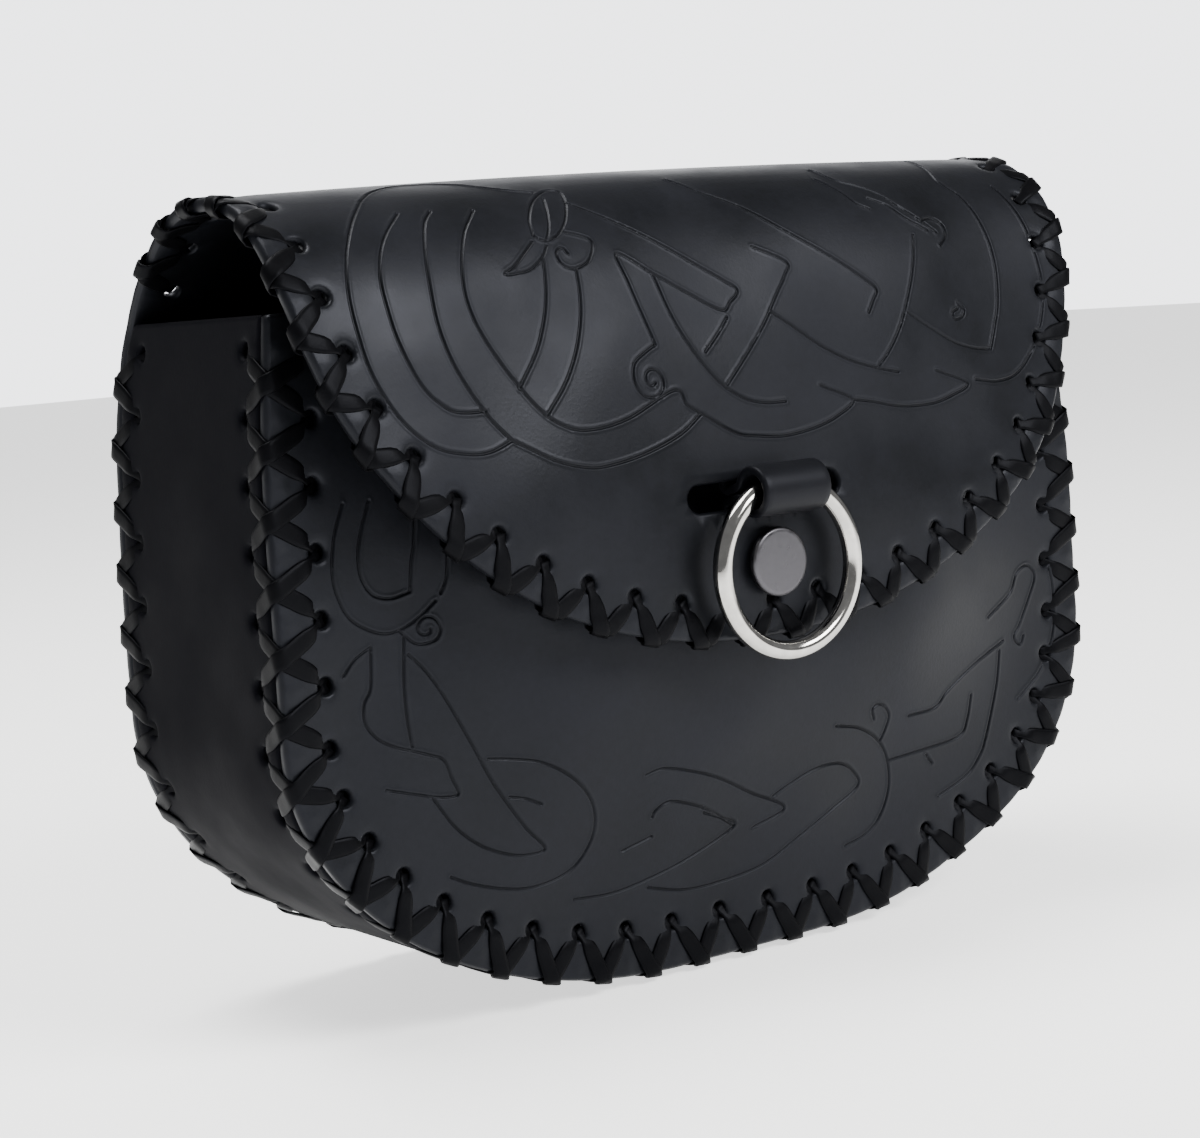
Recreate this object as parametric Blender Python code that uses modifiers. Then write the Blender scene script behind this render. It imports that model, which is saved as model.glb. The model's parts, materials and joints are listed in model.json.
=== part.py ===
"""A laced leather belt pouch with a roll-over flap, in metres, +Z up, front towards -Y.

The back and the flap are one piece of leather that rolls over the top. A gusset runs round the two
sides and the bottom between the back and the front panel. Flat lace crosses over every edge. A ring
hangs in a leather loop over a snap on the flap, and a wide loop on the back takes the belt.

Heights are above the surface that the pouch stands on. Depths are measured from the front panel's
outer face, and a parent empty then centres the whole pouch on the origin.
"""

import math

import bmesh
import bpy
from mathutils import Vector

MM = 0.001

# Leather, lace and the gap that pieces keep
LEATHER = 2.2 * MM
LACE = 1.2 * MM
GAP = 0.3 * MM

# Pouch body
HALF_WIDTH = 93.0 * MM
BODY_DEPTH = 57.5 * MM
MOUTH_HEIGHT = 126.0 * MM
SIDE_FOOT_HEIGHT = 55.5 * MM
FLAT_FOOT_HALF = 14.0 * MM
FOOT_ROUNDNESS = 2.05
MOUTH_TAPER = 4.0 * MM
FRONT_BELLY = 6.5 * MM
BELLY_REACH = 45.0 * MM

# Roll and flap
ROLL_HEIGHT = 145.8 * MM
FLAP_OVERHANG = 15.0 * MM
FLAP_TIP_HEIGHT = 61.9 * MM
FLAP_TIP_LENGTH = 79.0 * MM
FLAP_ROUNDNESS = 2.12

# Lacing
SEAM_HOLE_PITCH = 11.2 * MM
FLAP_HOLE_PITCH = 10.9 * MM
HOLE_INSET = 8.6 * MM
HOLE_BORDER = 2.0 * MM
FLAP_HOLE_INSET = 6.6 * MM
TOOTH_VALLEY = 2.5 * MM
GUSSET_HOLE_INSET = 8.0 * MM

# Ring and its loop
RING_WIRE = 3.5 * MM
RING_INSIDE = 26.5 * MM
LOOP_WIDTH = 15.0 * MM
LOOP_LEATHER = 1.6 * MM
LOOP_FOOT_UP = 10.0 * MM
LOOP_FOOT_DOWN = 18.2 * MM
TUNNEL_CLEARANCE = 0.3 * MM
SLOT_LENGTH = 35.0 * MM
SLOT_WIDTH = 5.0 * MM
SLOT_ABOVE_TIP = 26.1 * MM

# Snap, which sits below the slot in the middle of the hanging ring
SNAP_DROP = 12.7 * MM
CAP_RADIUS = 6.25 * MM
CAP_THICKNESS = 2.2 * MM
SNAP_POST_RADIUS = 2.0 * MM
SOCKET_RADIUS = 5.5 * MM
SOCKET_THICKNESS = 2.0 * MM
STUD_RADIUS = 5.0 * MM
WASHER_THICKNESS = 0.8 * MM

# Belt loop on the back
BELT_LOOP_WIDTH = 64.0 * MM
BELT_SLOT_HEIGHT = 42.0 * MM
BELT_SLOT_DEPTH = 6.0 * MM
BELT_SLOT_FOOT = 47.0 * MM
BELT_LOOP_SEAM = 13.0 * MM
BELT_RIVET_SPACING = 44.0 * MM
RIVET_CAP_RADIUS = 4.5 * MM
RIVET_CAP_THICKNESS = 1.2 * MM
RIVET_POST_RADIUS = 1.5 * MM

# Fineness of the meshes
DIRECTION_REACH = 1.5 * MM
FOOT_STEPS = 14
SIDE_STEPS = 8
ROLL_STEPS = 26
TIP_STEPS = 16
PANEL_COLUMNS = 8
ROUND_STEPS = 24

# The roll from the back, over the top, to the flap's front, as shares. Depth is a share of the way
# from the flap's front to the back, rise a share of the way from the roll's foot to its top.
ROLL_FOOT_HEIGHT = 96.0 * MM
ROLL_SHAPE = (
    # depth, rise
    (0.995, 0.250),
    (0.925, 0.620),
    (0.710, 0.920),
    (0.490, 1.000),
    (0.285, 0.920),
    (0.135, 0.650),
    (0.042, 0.150),
)

# Heights and depths that follow from the sizes above
LACE_TOP = GAP + LACE
LACED_MARGIN = HOLE_INSET + HOLE_BORDER
FOOT_HEIGHT = LACE_TOP
BACK_DEPTH = BODY_DEPTH
FLAP_HALF_WIDTH = HALF_WIDTH - MOUTH_TAPER
RING_MEAN_RADIUS = (RING_INSIDE + RING_WIRE) / 2
RING_SAG = RING_MEAN_RADIUS - math.sqrt(RING_MEAN_RADIUS**2 - (LOOP_WIDTH / 2) ** 2)
SLOT_HEIGHT = FLAP_TIP_HEIGHT + SLOT_ABOVE_TIP
SNAP_HEIGHT = SLOT_HEIGHT - SNAP_DROP
TUNNEL_RADIUS = RING_WIRE / 2 + RING_SAG / 2 + TUNNEL_CLEARANCE
LOOP_RADIUS = TUNNEL_RADIUS + LOOP_LEATHER
BELT_LOOP_BACK = BACK_DEPTH + GAP + BELT_SLOT_DEPTH + LEATHER


class Path:
    """A plane curve read by the distance along it."""

    def __init__(self, points):
        self.points = [Vector(p) for p in points]
        self.marks = [0.0]
        for a, b in zip(self.points, self.points[1:]):
            self.marks.append(self.marks[-1] + (b - a).length)
        self.length = self.marks[-1]

    def at(self, distance):
        distance = min(max(distance, 0.0), self.length)
        for i in range(1, len(self.marks)):
            if self.marks[i] >= distance:
                span = self.marks[i] - self.marks[i - 1]
                share = (distance - self.marks[i - 1]) / span if span else 0.0
                return self.points[i - 1].lerp(self.points[i], share)
        return self.points[-1].copy()

    def along(self, distance):
        """The direction of travel, smoothed over a short reach."""
        ahead = self.at(distance + DIRECTION_REACH)
        behind = self.at(distance - DIRECTION_REACH)
        return (ahead - behind).normalized()


def smooth_curve(knots, steps):
    """A Catmull-Rom curve through the knots, steps points a span."""
    padded = [knots[0] * 2 - knots[1]] + knots + [knots[-1] * 2 - knots[-2]]
    points = []
    for i in range(1, len(padded) - 2):
        before, start, end, after = padded[i - 1 : i + 3]
        for k in range(steps):
            t = k / steps
            points.append(
                0.5
                * (
                    start * 2
                    + (end - before) * t
                    + (before * 2 - start * 5 + end * 4 - after) * t**2
                    + (start * 3 - before - end * 3 + after) * t**3
                )
            )
    points.append(knots[-1].copy())
    return points


def half_width_at(height):
    """Half the body's width where its sides stand, narrower towards the mouth."""
    rise = max(0.0, height - SIDE_FOOT_HEIGHT) / (MOUTH_HEIGHT - SIDE_FOOT_HEIGHT)
    return HALF_WIDTH - MOUTH_TAPER * min(rise, 1.0) ** 2


def foot_rows():
    """(half width, height) from the flat foot up round the corner to the straight side."""
    reach = HALF_WIDTH - FLAT_FOOT_HALF
    drop = SIDE_FOOT_HEIGHT - FOOT_HEIGHT
    rows = []
    for i in range(FOOT_STEPS + 1):
        turn = math.pi / 2 * (1 - i / FOOT_STEPS)
        across = max(math.cos(turn), 0.0) ** (2 / FOOT_ROUNDNESS)
        down = math.sin(turn) ** (2 / FOOT_ROUNDNESS)
        rows.append((FLAT_FOOT_HALF + reach * across, SIDE_FOOT_HEIGHT - drop * down))
    return rows


def body_rows(top):
    """(half width, height) of the body from its foot up to a height."""
    rows = foot_rows()
    for i in range(1, SIDE_STEPS + 1):
        height = SIDE_FOOT_HEIGHT + (top - SIDE_FOOT_HEIGHT) * i / SIDE_STEPS
        rows.append((half_width_at(height), height))
    return rows


def roll_profile():
    """The outer face of the back and flap as a Path of (depth, height), from the foot to the tip."""
    depth = BACK_DEPTH + FLAP_OVERHANG
    rise = ROLL_HEIGHT - ROLL_FOOT_HEIGHT
    knots = [Vector((BACK_DEPTH, FOOT_HEIGHT)), Vector((BACK_DEPTH, ROLL_FOOT_HEIGHT - rise / 4))]
    knots.append(Vector((BACK_DEPTH, ROLL_FOOT_HEIGHT)))
    for share, up in ROLL_SHAPE:
        knots.append(Vector((share * depth - FLAP_OVERHANG, ROLL_FOOT_HEIGHT + up * rise)))
    shoulder = knots[-1].y
    for share in (0.45, 1.0):
        height = shoulder + (FLAP_TIP_HEIGHT - shoulder) * share
        knots.append(Vector((-FLAP_OVERHANG, height)))
    return Path(smooth_curve(knots, 12))


PROFILE = roll_profile()


def distance_to(height, start, end):
    """How far along the profile a height is reached between two distances, rising or falling."""
    rising = PROFILE.at(end).y > PROFILE.at(start).y
    for _ in range(40):
        middle = (start + end) / 2
        if (PROFILE.at(middle).y < height) == rising:
            start = middle
        else:
            end = middle
    return start


def back_distance(height):
    """How far along the profile the back passes a height."""
    return distance_to(height, 0.0, PROFILE.length / 2)


def depth_inside_back(height):
    """How deep the pouch's inside reaches at a height, a gap short of the back's inner face."""
    distance = back_distance(height)
    steepness = PROFILE.along(distance).y
    return PROFILE.at(distance).x - (LEATHER + GAP) / steepness


def flap_frame(height):
    """A point on the flap's outer face at a height, with the face's outward direction."""
    distance = distance_to(height, PROFILE.length / 2, PROFILE.length)
    point = PROFILE.at(distance)
    along = PROFILE.along(distance)
    return Vector((0, point.x, point.y)), Vector((0, along.y, -along.x))


def back_flap_rows():
    """(half width, distance along the profile) of the one piece that makes back and flap."""
    rows = [(half, height - FOOT_HEIGHT) for half, height in body_rows(ROLL_FOOT_HEIGHT)]
    start = rows[-1][1]
    tip_start = PROFILE.length - FLAP_TIP_LENGTH
    for i in range(1, ROLL_STEPS + 1):
        distance = start + (tip_start - start) * i / ROLL_STEPS
        rows.append((half_width_at(PROFILE.at(distance).y), distance))
    for i in range(1, TIP_STEPS + 1):
        turn = math.pi / 2 * i / (TIP_STEPS + 1)
        across = math.cos(turn) ** (2 / FLAP_ROUNDNESS)
        down = math.sin(turn) ** (2 / FLAP_ROUNDNESS)
        rows.append((FLAP_HALF_WIDTH * across, tip_start + FLAP_TIP_LENGTH * down))
    return rows


def on_profile(across, distance):
    """A point of the back and flap's pattern, put in its place."""
    point = PROFILE.at(distance)
    return Vector((across, point.x, point.y))


def half_width_of_front(height):
    """Half the front panel's width at any height, round corners included."""
    if height >= SIDE_FOOT_HEIGHT:
        return half_width_at(height)
    rows = foot_rows()
    for (half_low, low), (half_high, high) in zip(rows, rows[1:]):
        if low <= height <= high:
            return half_low + (half_high - half_low) * (height - low) / (high - low)
    return rows[0][0]


def foot_under(across):
    """The height of the body's lower edge at a distance from the middle."""
    share = max(abs(across) - FLAT_FOOT_HALF, 0.0) / (HALF_WIDTH - FLAT_FOOT_HALF)
    down = max(1 - share**FOOT_ROUNDNESS, 0.0) ** (1 / FOOT_ROUNDNESS)
    return SIDE_FOOT_HEIGHT - (SIDE_FOOT_HEIGHT - FOOT_HEIGHT) * down


def ease(share):
    """A soft step from 0 to 1."""
    share = min(max(share, 0.0), 1.0)
    return share * share * (3 - 2 * share)


def belly_at(across, height):
    """How far the front panel swells forward at a point, nothing at its edges."""
    beside = half_width_of_front(height) - abs(across) - LACED_MARGIN
    below = height - foot_under(across) - LACED_MARGIN
    above = MOUTH_HEIGHT - height
    swell = FRONT_BELLY
    for reach in (beside, below, above):
        swell *= ease(reach / BELLY_REACH)
    return swell


def columns(half):
    """Where the front panel's columns stand in a row, closer together towards its edges."""
    from_edge = (0.0, LACED_MARGIN, LACED_MARGIN + BELLY_REACH / 3, LACED_MARGIN + BELLY_REACH)
    inner = [half - min(step, half * i / 4) for i, step in enumerate(from_edge)]
    return [-x for x in inner] + [0.0] + list(reversed(inner))


def link(obj, parent, collection):
    """Puts an object in the pouch's collection, under a parent."""
    collection.objects.link(obj)
    obj.parent = parent
    return obj


def finish_of(name, colour, roughness, metallic=0.0):
    """A plain Principled material with one colour."""
    material = bpy.data.materials.new(name)
    material.use_nodes = True
    shader = material.node_tree.nodes["Principled BSDF"]
    shader.inputs["Base Color"].default_value = (*colour, 1.0)
    shader.inputs["Roughness"].default_value = roughness
    shader.inputs["Metallic"].default_value = metallic
    material.diffuse_color = (*colour, 1.0)
    return material


def mesh_object(name, mesh_maker, material, parent, collection):
    """An object whose mesh is filled by mesh_maker and shaded smooth with sharp edges kept."""
    mesh = bpy.data.meshes.new(name)
    work = bmesh.new()
    mesh_maker(work)
    bmesh.ops.recalc_face_normals(work, faces=work.faces)
    work.to_mesh(mesh)
    work.free()
    mesh.materials.append(material)
    mesh.shade_smooth()
    mesh.set_sharp_from_angle(angle=math.radians(40))
    return link(bpy.data.objects.new(name, mesh), parent, collection)


def loft(work, sections, closed_sections, capped):
    """Joins sections of equally many points with quads, and closes the two ends if asked."""
    rings = [[work.verts.new(point) for point in section] for section in sections]
    count = len(rings[0])
    last = count if closed_sections else count - 1
    for ring, following in zip(rings, rings[1:]):
        for i in range(last):
            j = (i + 1) % count
            work.faces.new((ring[i], ring[j], following[j], following[i]))
    if capped:
        work.faces.new(rings[0])
        work.faces.new(reversed(rings[-1]))


def thicken(obj, thickness, outwards_is_face=True):
    """Gives an open surface its leather thickness, behind its outer face."""
    solidify = obj.modifiers.new("leather thickness", "SOLIDIFY")
    solidify.thickness = thickness
    solidify.offset = -1.0 if outwards_is_face else 0.0
    solidify.use_even_offset = True
    return solidify


def facing(obj, direction):
    """Turns an open surface over if its faces look away from a direction."""
    normals = Vector((0, 0, 0))
    for polygon in obj.data.polygons:
        normals += polygon.normal * polygon.area
    if normals.dot(direction) < 0:
        obj.data.flip_normals()
    return obj


def cut(obj, cutter):
    """Cuts a hole with a cutter that isn't shown."""
    boolean = obj.modifiers.new("hole", "BOOLEAN")
    boolean.operation = "DIFFERENCE"
    boolean.solver = "EXACT"
    boolean.object = cutter


def hide_cutter(obj, parent, cutters):
    """Files a cutter away from the parts."""
    for holder in list(obj.users_collection):
        holder.objects.unlink(obj)
    cutters.objects.link(obj)
    obj.parent = parent
    obj.hide_render = True
    obj.display_type = "WIRE"
    return obj


def round_cutter(name, place, direction, radius, length, parent, cutters):
    """A rod that drills a round hole along a direction."""
    bpy.ops.mesh.primitive_cylinder_add(vertices=ROUND_STEPS, radius=radius, depth=length)
    rod = bpy.context.object
    rod.name = name
    rod.location = place
    rod.rotation_mode = "QUATERNION"
    rod.rotation_quaternion = direction.to_track_quat("Z", "Y")
    return hide_cutter(rod, parent, cutters)


def slot_cutter(parent, cutters):
    """A bar with round ends that cuts the flap's slot."""
    place, outwards = flap_frame(SLOT_HEIGHT)
    curve = bpy.data.curves.new("slot_outline", "CURVE")
    curve.dimensions = "2D"
    curve.fill_mode = "BOTH"
    curve.extrude = LEATHER * 2
    spline = curve.splines.new("POLY")
    radius = SLOT_WIDTH / 2
    middle = SLOT_LENGTH / 2 - radius
    points = []
    for side in (1, -1):
        for i in range(9):
            turn = side * math.pi / 2 - math.pi * i / 8
            points.append((side * middle + radius * math.cos(turn), radius * math.sin(turn)))
    spline.points.add(len(points) - 1)
    for target, (x, y) in zip(spline.points, points):
        target.co = (x, y, 0, 1)
    spline.use_cyclic_u = True
    flat = bpy.data.objects.new("slot_outline", curve)
    cutters.objects.link(flat)
    bpy.context.view_layer.update()
    evaluated = flat.evaluated_get(bpy.context.evaluated_depsgraph_get())
    mesh = bpy.data.meshes.new_from_object(evaluated)
    bpy.data.objects.remove(flat)
    work = bmesh.new()
    work.from_mesh(mesh)
    bmesh.ops.remove_doubles(work, verts=work.verts, dist=0.01 * MM)
    bmesh.ops.recalc_face_normals(work, faces=work.faces)
    work.to_mesh(mesh)
    work.free()
    bar = bpy.data.objects.new("slot_cutter", mesh)
    cutters.objects.link(bar)
    bar.location = place
    bar.rotation_mode = "QUATERNION"
    bar.rotation_quaternion = outwards.to_track_quat("Z", "Y")
    return hide_cutter(bar, parent, cutters)


def back_flap_panel(materials, parent, parts):
    """The back, the roll and the flap in one piece of leather."""
    rows = back_flap_rows()

    def fill(work):
        sections = []
        for half, distance in rows:
            shares = [2 * i / PANEL_COLUMNS - 1 for i in range(PANEL_COLUMNS + 1)]
            sections.append([on_profile(half * share, distance) for share in shares])
        loft(work, sections, closed_sections=False, capped=False)

    panel = mesh_object("back_flap_panel", fill, materials["leather"], parent, parts)
    facing(panel, Vector((0, 1, 4)))
    thicken(panel, LEATHER)
    return panel


def front_panel(materials, parent, parts):
    """The front, with its swelling belly."""

    def fill(work):
        sections = []
        for half, height in body_rows(MOUTH_HEIGHT):
            sections.append([(x, -belly_at(x, height), height) for x in columns(half)])
        loft(work, sections, closed_sections=False, capped=False)

    panel = mesh_object("front_panel", fill, materials["leather"], parent, parts)
    facing(panel, Vector((0, -1, 0)))
    thicken(panel, LEATHER)
    return panel


def body_outline():
    """The body's edge as a Path of (across, height), from the left of the mouth round to the right."""
    rows = body_rows(MOUTH_HEIGHT)
    left = [Vector((-half, height)) for half, height in reversed(rows)]
    right = [Vector((half, height)) for half, height in rows]
    return Path(left + right)


def gusset(materials, parent, parts):
    """The strip round both sides and the foot, between the front and the back."""
    outline = body_outline()

    def fill(work):
        sections = []
        for point in outline.points:
            behind = depth_inside_back(point.y)
            front = LEATHER + GAP
            depths = [front + (behind - front) * i / 4 for i in range(5)]
            sections.append([(point.x, depth, point.y) for depth in depths])
        loft(work, sections, closed_sections=False, capped=False)

    strip = mesh_object("gusset", fill, materials["leather"], parent, parts)
    facing(strip, Vector((0, 0, -1)))
    thicken(strip, LEATHER)
    return strip


def stations(length, pitch):
    """(distance, whether a hole is there) along a laced edge, half a hole pitch apart."""
    count = max(2, round(length / pitch))
    return [(length * i / (2 * count), i % 2 == 1) for i in range(2 * count + 1)]


def corner_section(at_hole):
    """The lace's outline where two panels meet square, as (outwards, proud) from their corner."""
    on_face = HOLE_INSET if at_hole else TOOTH_VALLEY
    on_gusset = GUSSET_HOLE_INSET if at_hole else TOOTH_VALLEY
    return [
        (-on_face, GAP),
        (-on_face, LACE_TOP),
        (0.0, LACE_TOP),
        (LACE_TOP, 0.0),
        (LACE_TOP, -on_gusset),
        (GAP, -on_gusset),
        (GAP, GAP / 2),
        (GAP / 2, GAP),
    ]


def edge_section(at_hole):
    """The lace's outline round a free edge, as (outwards, proud) from the edge's outer corner."""
    reach = FLAP_HOLE_INSET if at_hole else TOOTH_VALLEY
    far = -LEATHER
    return [
        (-reach, GAP),
        (-reach, LACE_TOP),
        (0.0, LACE_TOP),
        (LACE_TOP, 0.0),
        (LACE_TOP, far),
        (0.0, far - LACE_TOP),
        (-reach, far - LACE_TOP),
        (-reach, far - GAP),
        (GAP, far - GAP),
        (GAP, GAP),
    ]


def laced_edge(name, frames, section_of, material, parent, parts):
    """The lace along an edge, as one band with a tooth at each hole."""

    def fill(work):
        sections = []
        for corner, outwards, proud, at_hole in frames:
            outline = section_of(at_hole)
            sections.append([corner + outwards * out + proud * up for out, up in outline])
        loft(work, sections, closed_sections=True, capped=True)

    return mesh_object(name, fill, material, parent, parts)


def front_seam_frames():
    """Where the lace joins the front panel to the gusset."""
    outline = body_outline()
    frames = []
    for distance, at_hole in stations(outline.length, SEAM_HOLE_PITCH):
        point = outline.at(distance)
        along = outline.along(distance)
        outwards = Vector((along.y, 0, -along.x))
        frames.append((Vector((point.x, 0, point.y)), outwards, Vector((0, -1, 0)), at_hole))
    return frames


def pattern_edge():
    """The back and flap's edge as a Path of (across, distance), from the left foot round to the tip."""
    rows = back_flap_rows()
    left = [Vector((-half, distance)) for half, distance in rows]
    right = [Vector((half, distance)) for half, distance in reversed(rows)]
    return left, right


def profile_frame(point, along, at_hole):
    """A frame on the back and flap's edge from its pattern point and direction of travel."""
    slope = PROFILE.along(point.y)
    up_pattern = Vector((0, slope.x, slope.y))
    proud = Vector((0, slope.y, -slope.x))
    outwards = Vector((1, 0, 0)) * -along.y + up_pattern * along.x
    return on_profile(point.x, point.y), outwards.normalized(), proud, at_hole


def free_edge_start():
    """How far along the profile the back's edge comes free of the gusset, with room for its lace."""
    lean = abs(PROFILE.along(back_distance(MOUTH_HEIGHT)).x)
    return back_distance(MOUTH_HEIGHT + GAP + (LEATHER + LACE_TOP) * lean)


def back_seam_frames():
    """Where the lace joins the back to the gusset, from mouth to mouth by way of the foot."""
    left, right = pattern_edge()
    mouth = back_distance(MOUTH_HEIGHT)
    half = half_width_at(MOUTH_HEIGHT)
    down = [Vector((-half, mouth))] + [p for p in reversed(left) if p.y < mouth]
    up = [p for p in reversed(right) if p.y < mouth] + [Vector((half, mouth))]
    edge = Path(down + up)
    frames = []
    for distance, at_hole in stations(edge.length, SEAM_HOLE_PITCH):
        corner, outwards, _, _ = profile_frame(edge.at(distance), -edge.along(distance), at_hole)
        frames.append((corner, outwards, Vector((0, 1, 0)), at_hole))
    return frames


def flap_edge_frames():
    """Where the lace binds the free edge, from the mouth over the roll and round the tip."""
    left, right = pattern_edge()
    mouth = free_edge_start()
    half = half_width_at(MOUTH_HEIGHT)
    up = [Vector((-half, mouth))] + [p for p in left if p.y > mouth]
    down = [p for p in right if p.y > mouth] + [Vector((half, mouth))]
    edge = Path(up + down)
    frames = []
    for distance, at_hole in stations(edge.length, FLAP_HOLE_PITCH):
        along = edge.along(distance)
        frames.append(profile_frame(edge.at(distance), along, at_hole))
    return frames


def ribbon(name, path, width, thickness, material, parent, parts):
    """A strap of leather that follows a path of (depth, height), centred on x = 0."""

    def fill(work):
        sections = [[(-width / 2, p.x, p.y), (width / 2, p.x, p.y)] for p in path]
        loft(work, sections, closed_sections=False, capped=False)

    strap = mesh_object(name, fill, material, parent, parts)
    thicken(strap, thickness, outwards_is_face=False)
    return strap


def arc(centre, radius, start, end, steps):
    """Points on an arc of (depth, height), with angles in degrees."""
    points = []
    for i in range(steps + 1):
        turn = math.radians(start + (end - start) * i / steps)
        points.append(centre + Vector((math.cos(turn), math.sin(turn))) * radius)
    return points


def loop_pivot():
    """Where the ring turns, as (depth, height): in front of the flap by the loop's own radius."""
    place, outwards = flap_frame(SLOT_HEIGHT)
    centre = place + outwards * (LOOP_RADIUS + GAP)
    return Vector((centre.y, centre.z))


def ring_loop(materials, parent, parts):
    """The strap round the ring: through the slot, with one foot up and one down behind the flap."""
    pivot = loop_pivot()
    middle = TUNNEL_RADIUS + LOOP_LEATHER / 2
    ply = LOOP_LEATHER / 2 + GAP / 2
    opening = math.degrees(math.asin(ply / middle))
    barrel = arc(pivot, middle, opening, 360 - opening, 20)
    bend = LOOP_LEATHER
    upper = []
    lower = []
    for side, reach, foot in ((1, LOOP_FOOT_UP, upper), (-1, LOOP_FOOT_DOWN, lower)):
        inner = []
        for i in range(5):
            height = SLOT_HEIGHT + side * (ply + bend + (reach - ply - bend) * i / 4)
            place, outwards = flap_frame(height)
            behind = place - outwards * (LEATHER + GAP + LOOP_LEATHER / 2)
            inner.append(Vector((behind.y, behind.z)))
        centre = Vector((inner[0].x - bend, inner[0].y))
        corner = arc(centre, bend, -90 * side, 0, 4)
        foot.extend(corner + inner[1:])
    path = list(reversed(upper)) + barrel + lower
    return ribbon("ring_loop", path, LOOP_WIDTH, LOOP_LEATHER, materials["strap"], parent, parts)


def closure_ring(materials, parent, parts):
    """The ring, hung from an empty on the axis that it swings about."""
    pivot = loop_pivot()
    axis = bpy.data.objects.new("ring_axis", None)
    parts.objects.link(axis)
    axis.parent = parent
    axis.location = (0, pivot.x, pivot.y)
    bpy.ops.mesh.primitive_torus_add(
        major_radius=RING_MEAN_RADIUS,
        minor_radius=RING_WIRE / 2,
        major_segments=40,
        minor_segments=12,
    )
    ring = bpy.context.object
    for holder in list(ring.users_collection):
        holder.objects.unlink(ring)
    ring.name = "closure_ring"
    ring.data.materials.append(materials["steel"])
    ring.data.shade_smooth()
    link(ring, axis, parts)
    ring.rotation_euler = (math.pi / 2, 0, 0)
    ring.location = (0, 0, RING_SAG / 2 - RING_MEAN_RADIUS)
    return ring


def turned(name, profile, place, direction, material, parent, parts):
    """A turned piece: a profile of (radius, height) listed from its top down, spun about its axis."""
    mesh = bpy.data.meshes.new(name)
    work = bmesh.new()
    verts = [work.verts.new((radius, 0, height)) for radius, height in profile]
    for a, b in zip(verts, verts[1:]):
        work.edges.new((a, b))
    work.to_mesh(mesh)
    work.free()
    mesh.materials.append(material)
    piece = link(bpy.data.objects.new(name, mesh), parent, parts)
    screw = piece.modifiers.new("turn", "SCREW")
    screw.steps = ROUND_STEPS
    screw.render_steps = ROUND_STEPS
    screw.use_merge_vertices = True
    screw.merge_threshold = 0.01 * MM
    screw.use_smooth_shade = True
    piece.location = place
    piece.rotation_mode = "QUATERNION"
    piece.rotation_quaternion = direction.to_track_quat("Z", "Y")
    return piece


def rivet_profile(cap_radius, cap, grip, post, washer_radius, washer):
    """A cap above, a post through the leather and a washer below, from the top down."""
    rim = cap / 3
    return [
        (0, cap),
        (cap_radius - rim, cap),
        (cap_radius, cap - rim),
        (cap_radius, 0),
        (post, 0),
        (post, -grip),
        (washer_radius, -grip),
        (washer_radius, -grip - washer),
        (0, -grip - washer),
    ]


def snap(materials, panels, parent, parts, cutters):
    """The snap's cap and socket on the flap, and its stud on the front panel."""
    place, outwards = flap_frame(SNAP_HEIGHT)
    grip = LEATHER + LOOP_LEATHER + 3 * GAP
    profile = rivet_profile(
        CAP_RADIUS, CAP_THICKNESS, grip, SNAP_POST_RADIUS, SOCKET_RADIUS, SOCKET_THICKNESS
    )
    turned("snap_cap", profile, place + outwards * GAP, outwards, materials["steel"], parent, parts)
    drill = round_cutter(
        "snap_hole", place, outwards, SNAP_POST_RADIUS + GAP, grip * 4, parent, cutters
    )
    cut(panels["back_flap_panel"], drill)
    cut(panels["ring_loop"], drill)

    socket_back = place - outwards * (grip - GAP + SOCKET_THICKNESS)
    height = socket_back.z
    seat = Vector((0, -belly_at(0, height), height))
    forward = Vector((0, -1, 0))
    reach = (seat.y - socket_back.y) - 2 * GAP
    stud = rivet_profile(
        STUD_RADIUS, reach, LEATHER + 2 * GAP, SNAP_POST_RADIUS, STUD_RADIUS, WASHER_THICKNESS
    )
    turned("snap_stud", stud, seat + forward * GAP, forward, materials["steel"], parent, parts)
    drill = round_cutter(
        "stud_hole", seat, forward, SNAP_POST_RADIUS + GAP, LEATHER * 6, parent, cutters
    )
    cut(panels["front_panel"], drill)


def belt_loop(materials, parent, parts):
    """The strap on the back that the belt goes through."""
    near = BACK_DEPTH + GAP + LEATHER / 2
    far = near + BELT_SLOT_DEPTH
    top = BELT_SLOT_FOOT + BELT_SLOT_HEIGHT
    bend = BELT_SLOT_DEPTH / 2
    path = [Vector((near, BELT_SLOT_FOOT - BELT_LOOP_SEAM)), Vector((near, BELT_SLOT_FOOT - bend))]
    path += arc(Vector((near + bend, BELT_SLOT_FOOT - bend)), bend, 180, 90, 4)[1:]
    path += arc(Vector((far - bend, BELT_SLOT_FOOT + bend)), bend, -90, 0, 4)[1:]
    path += arc(Vector((far - bend, top - bend)), bend, 0, 90, 4)
    path += arc(Vector((near + bend, top + bend)), bend, 270, 180, 4)[1:]
    path.append(Vector((near, top + BELT_LOOP_SEAM)))
    return ribbon("belt_loop", path, BELT_LOOP_WIDTH, LEATHER, materials["leather"], parent, parts)


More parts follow.
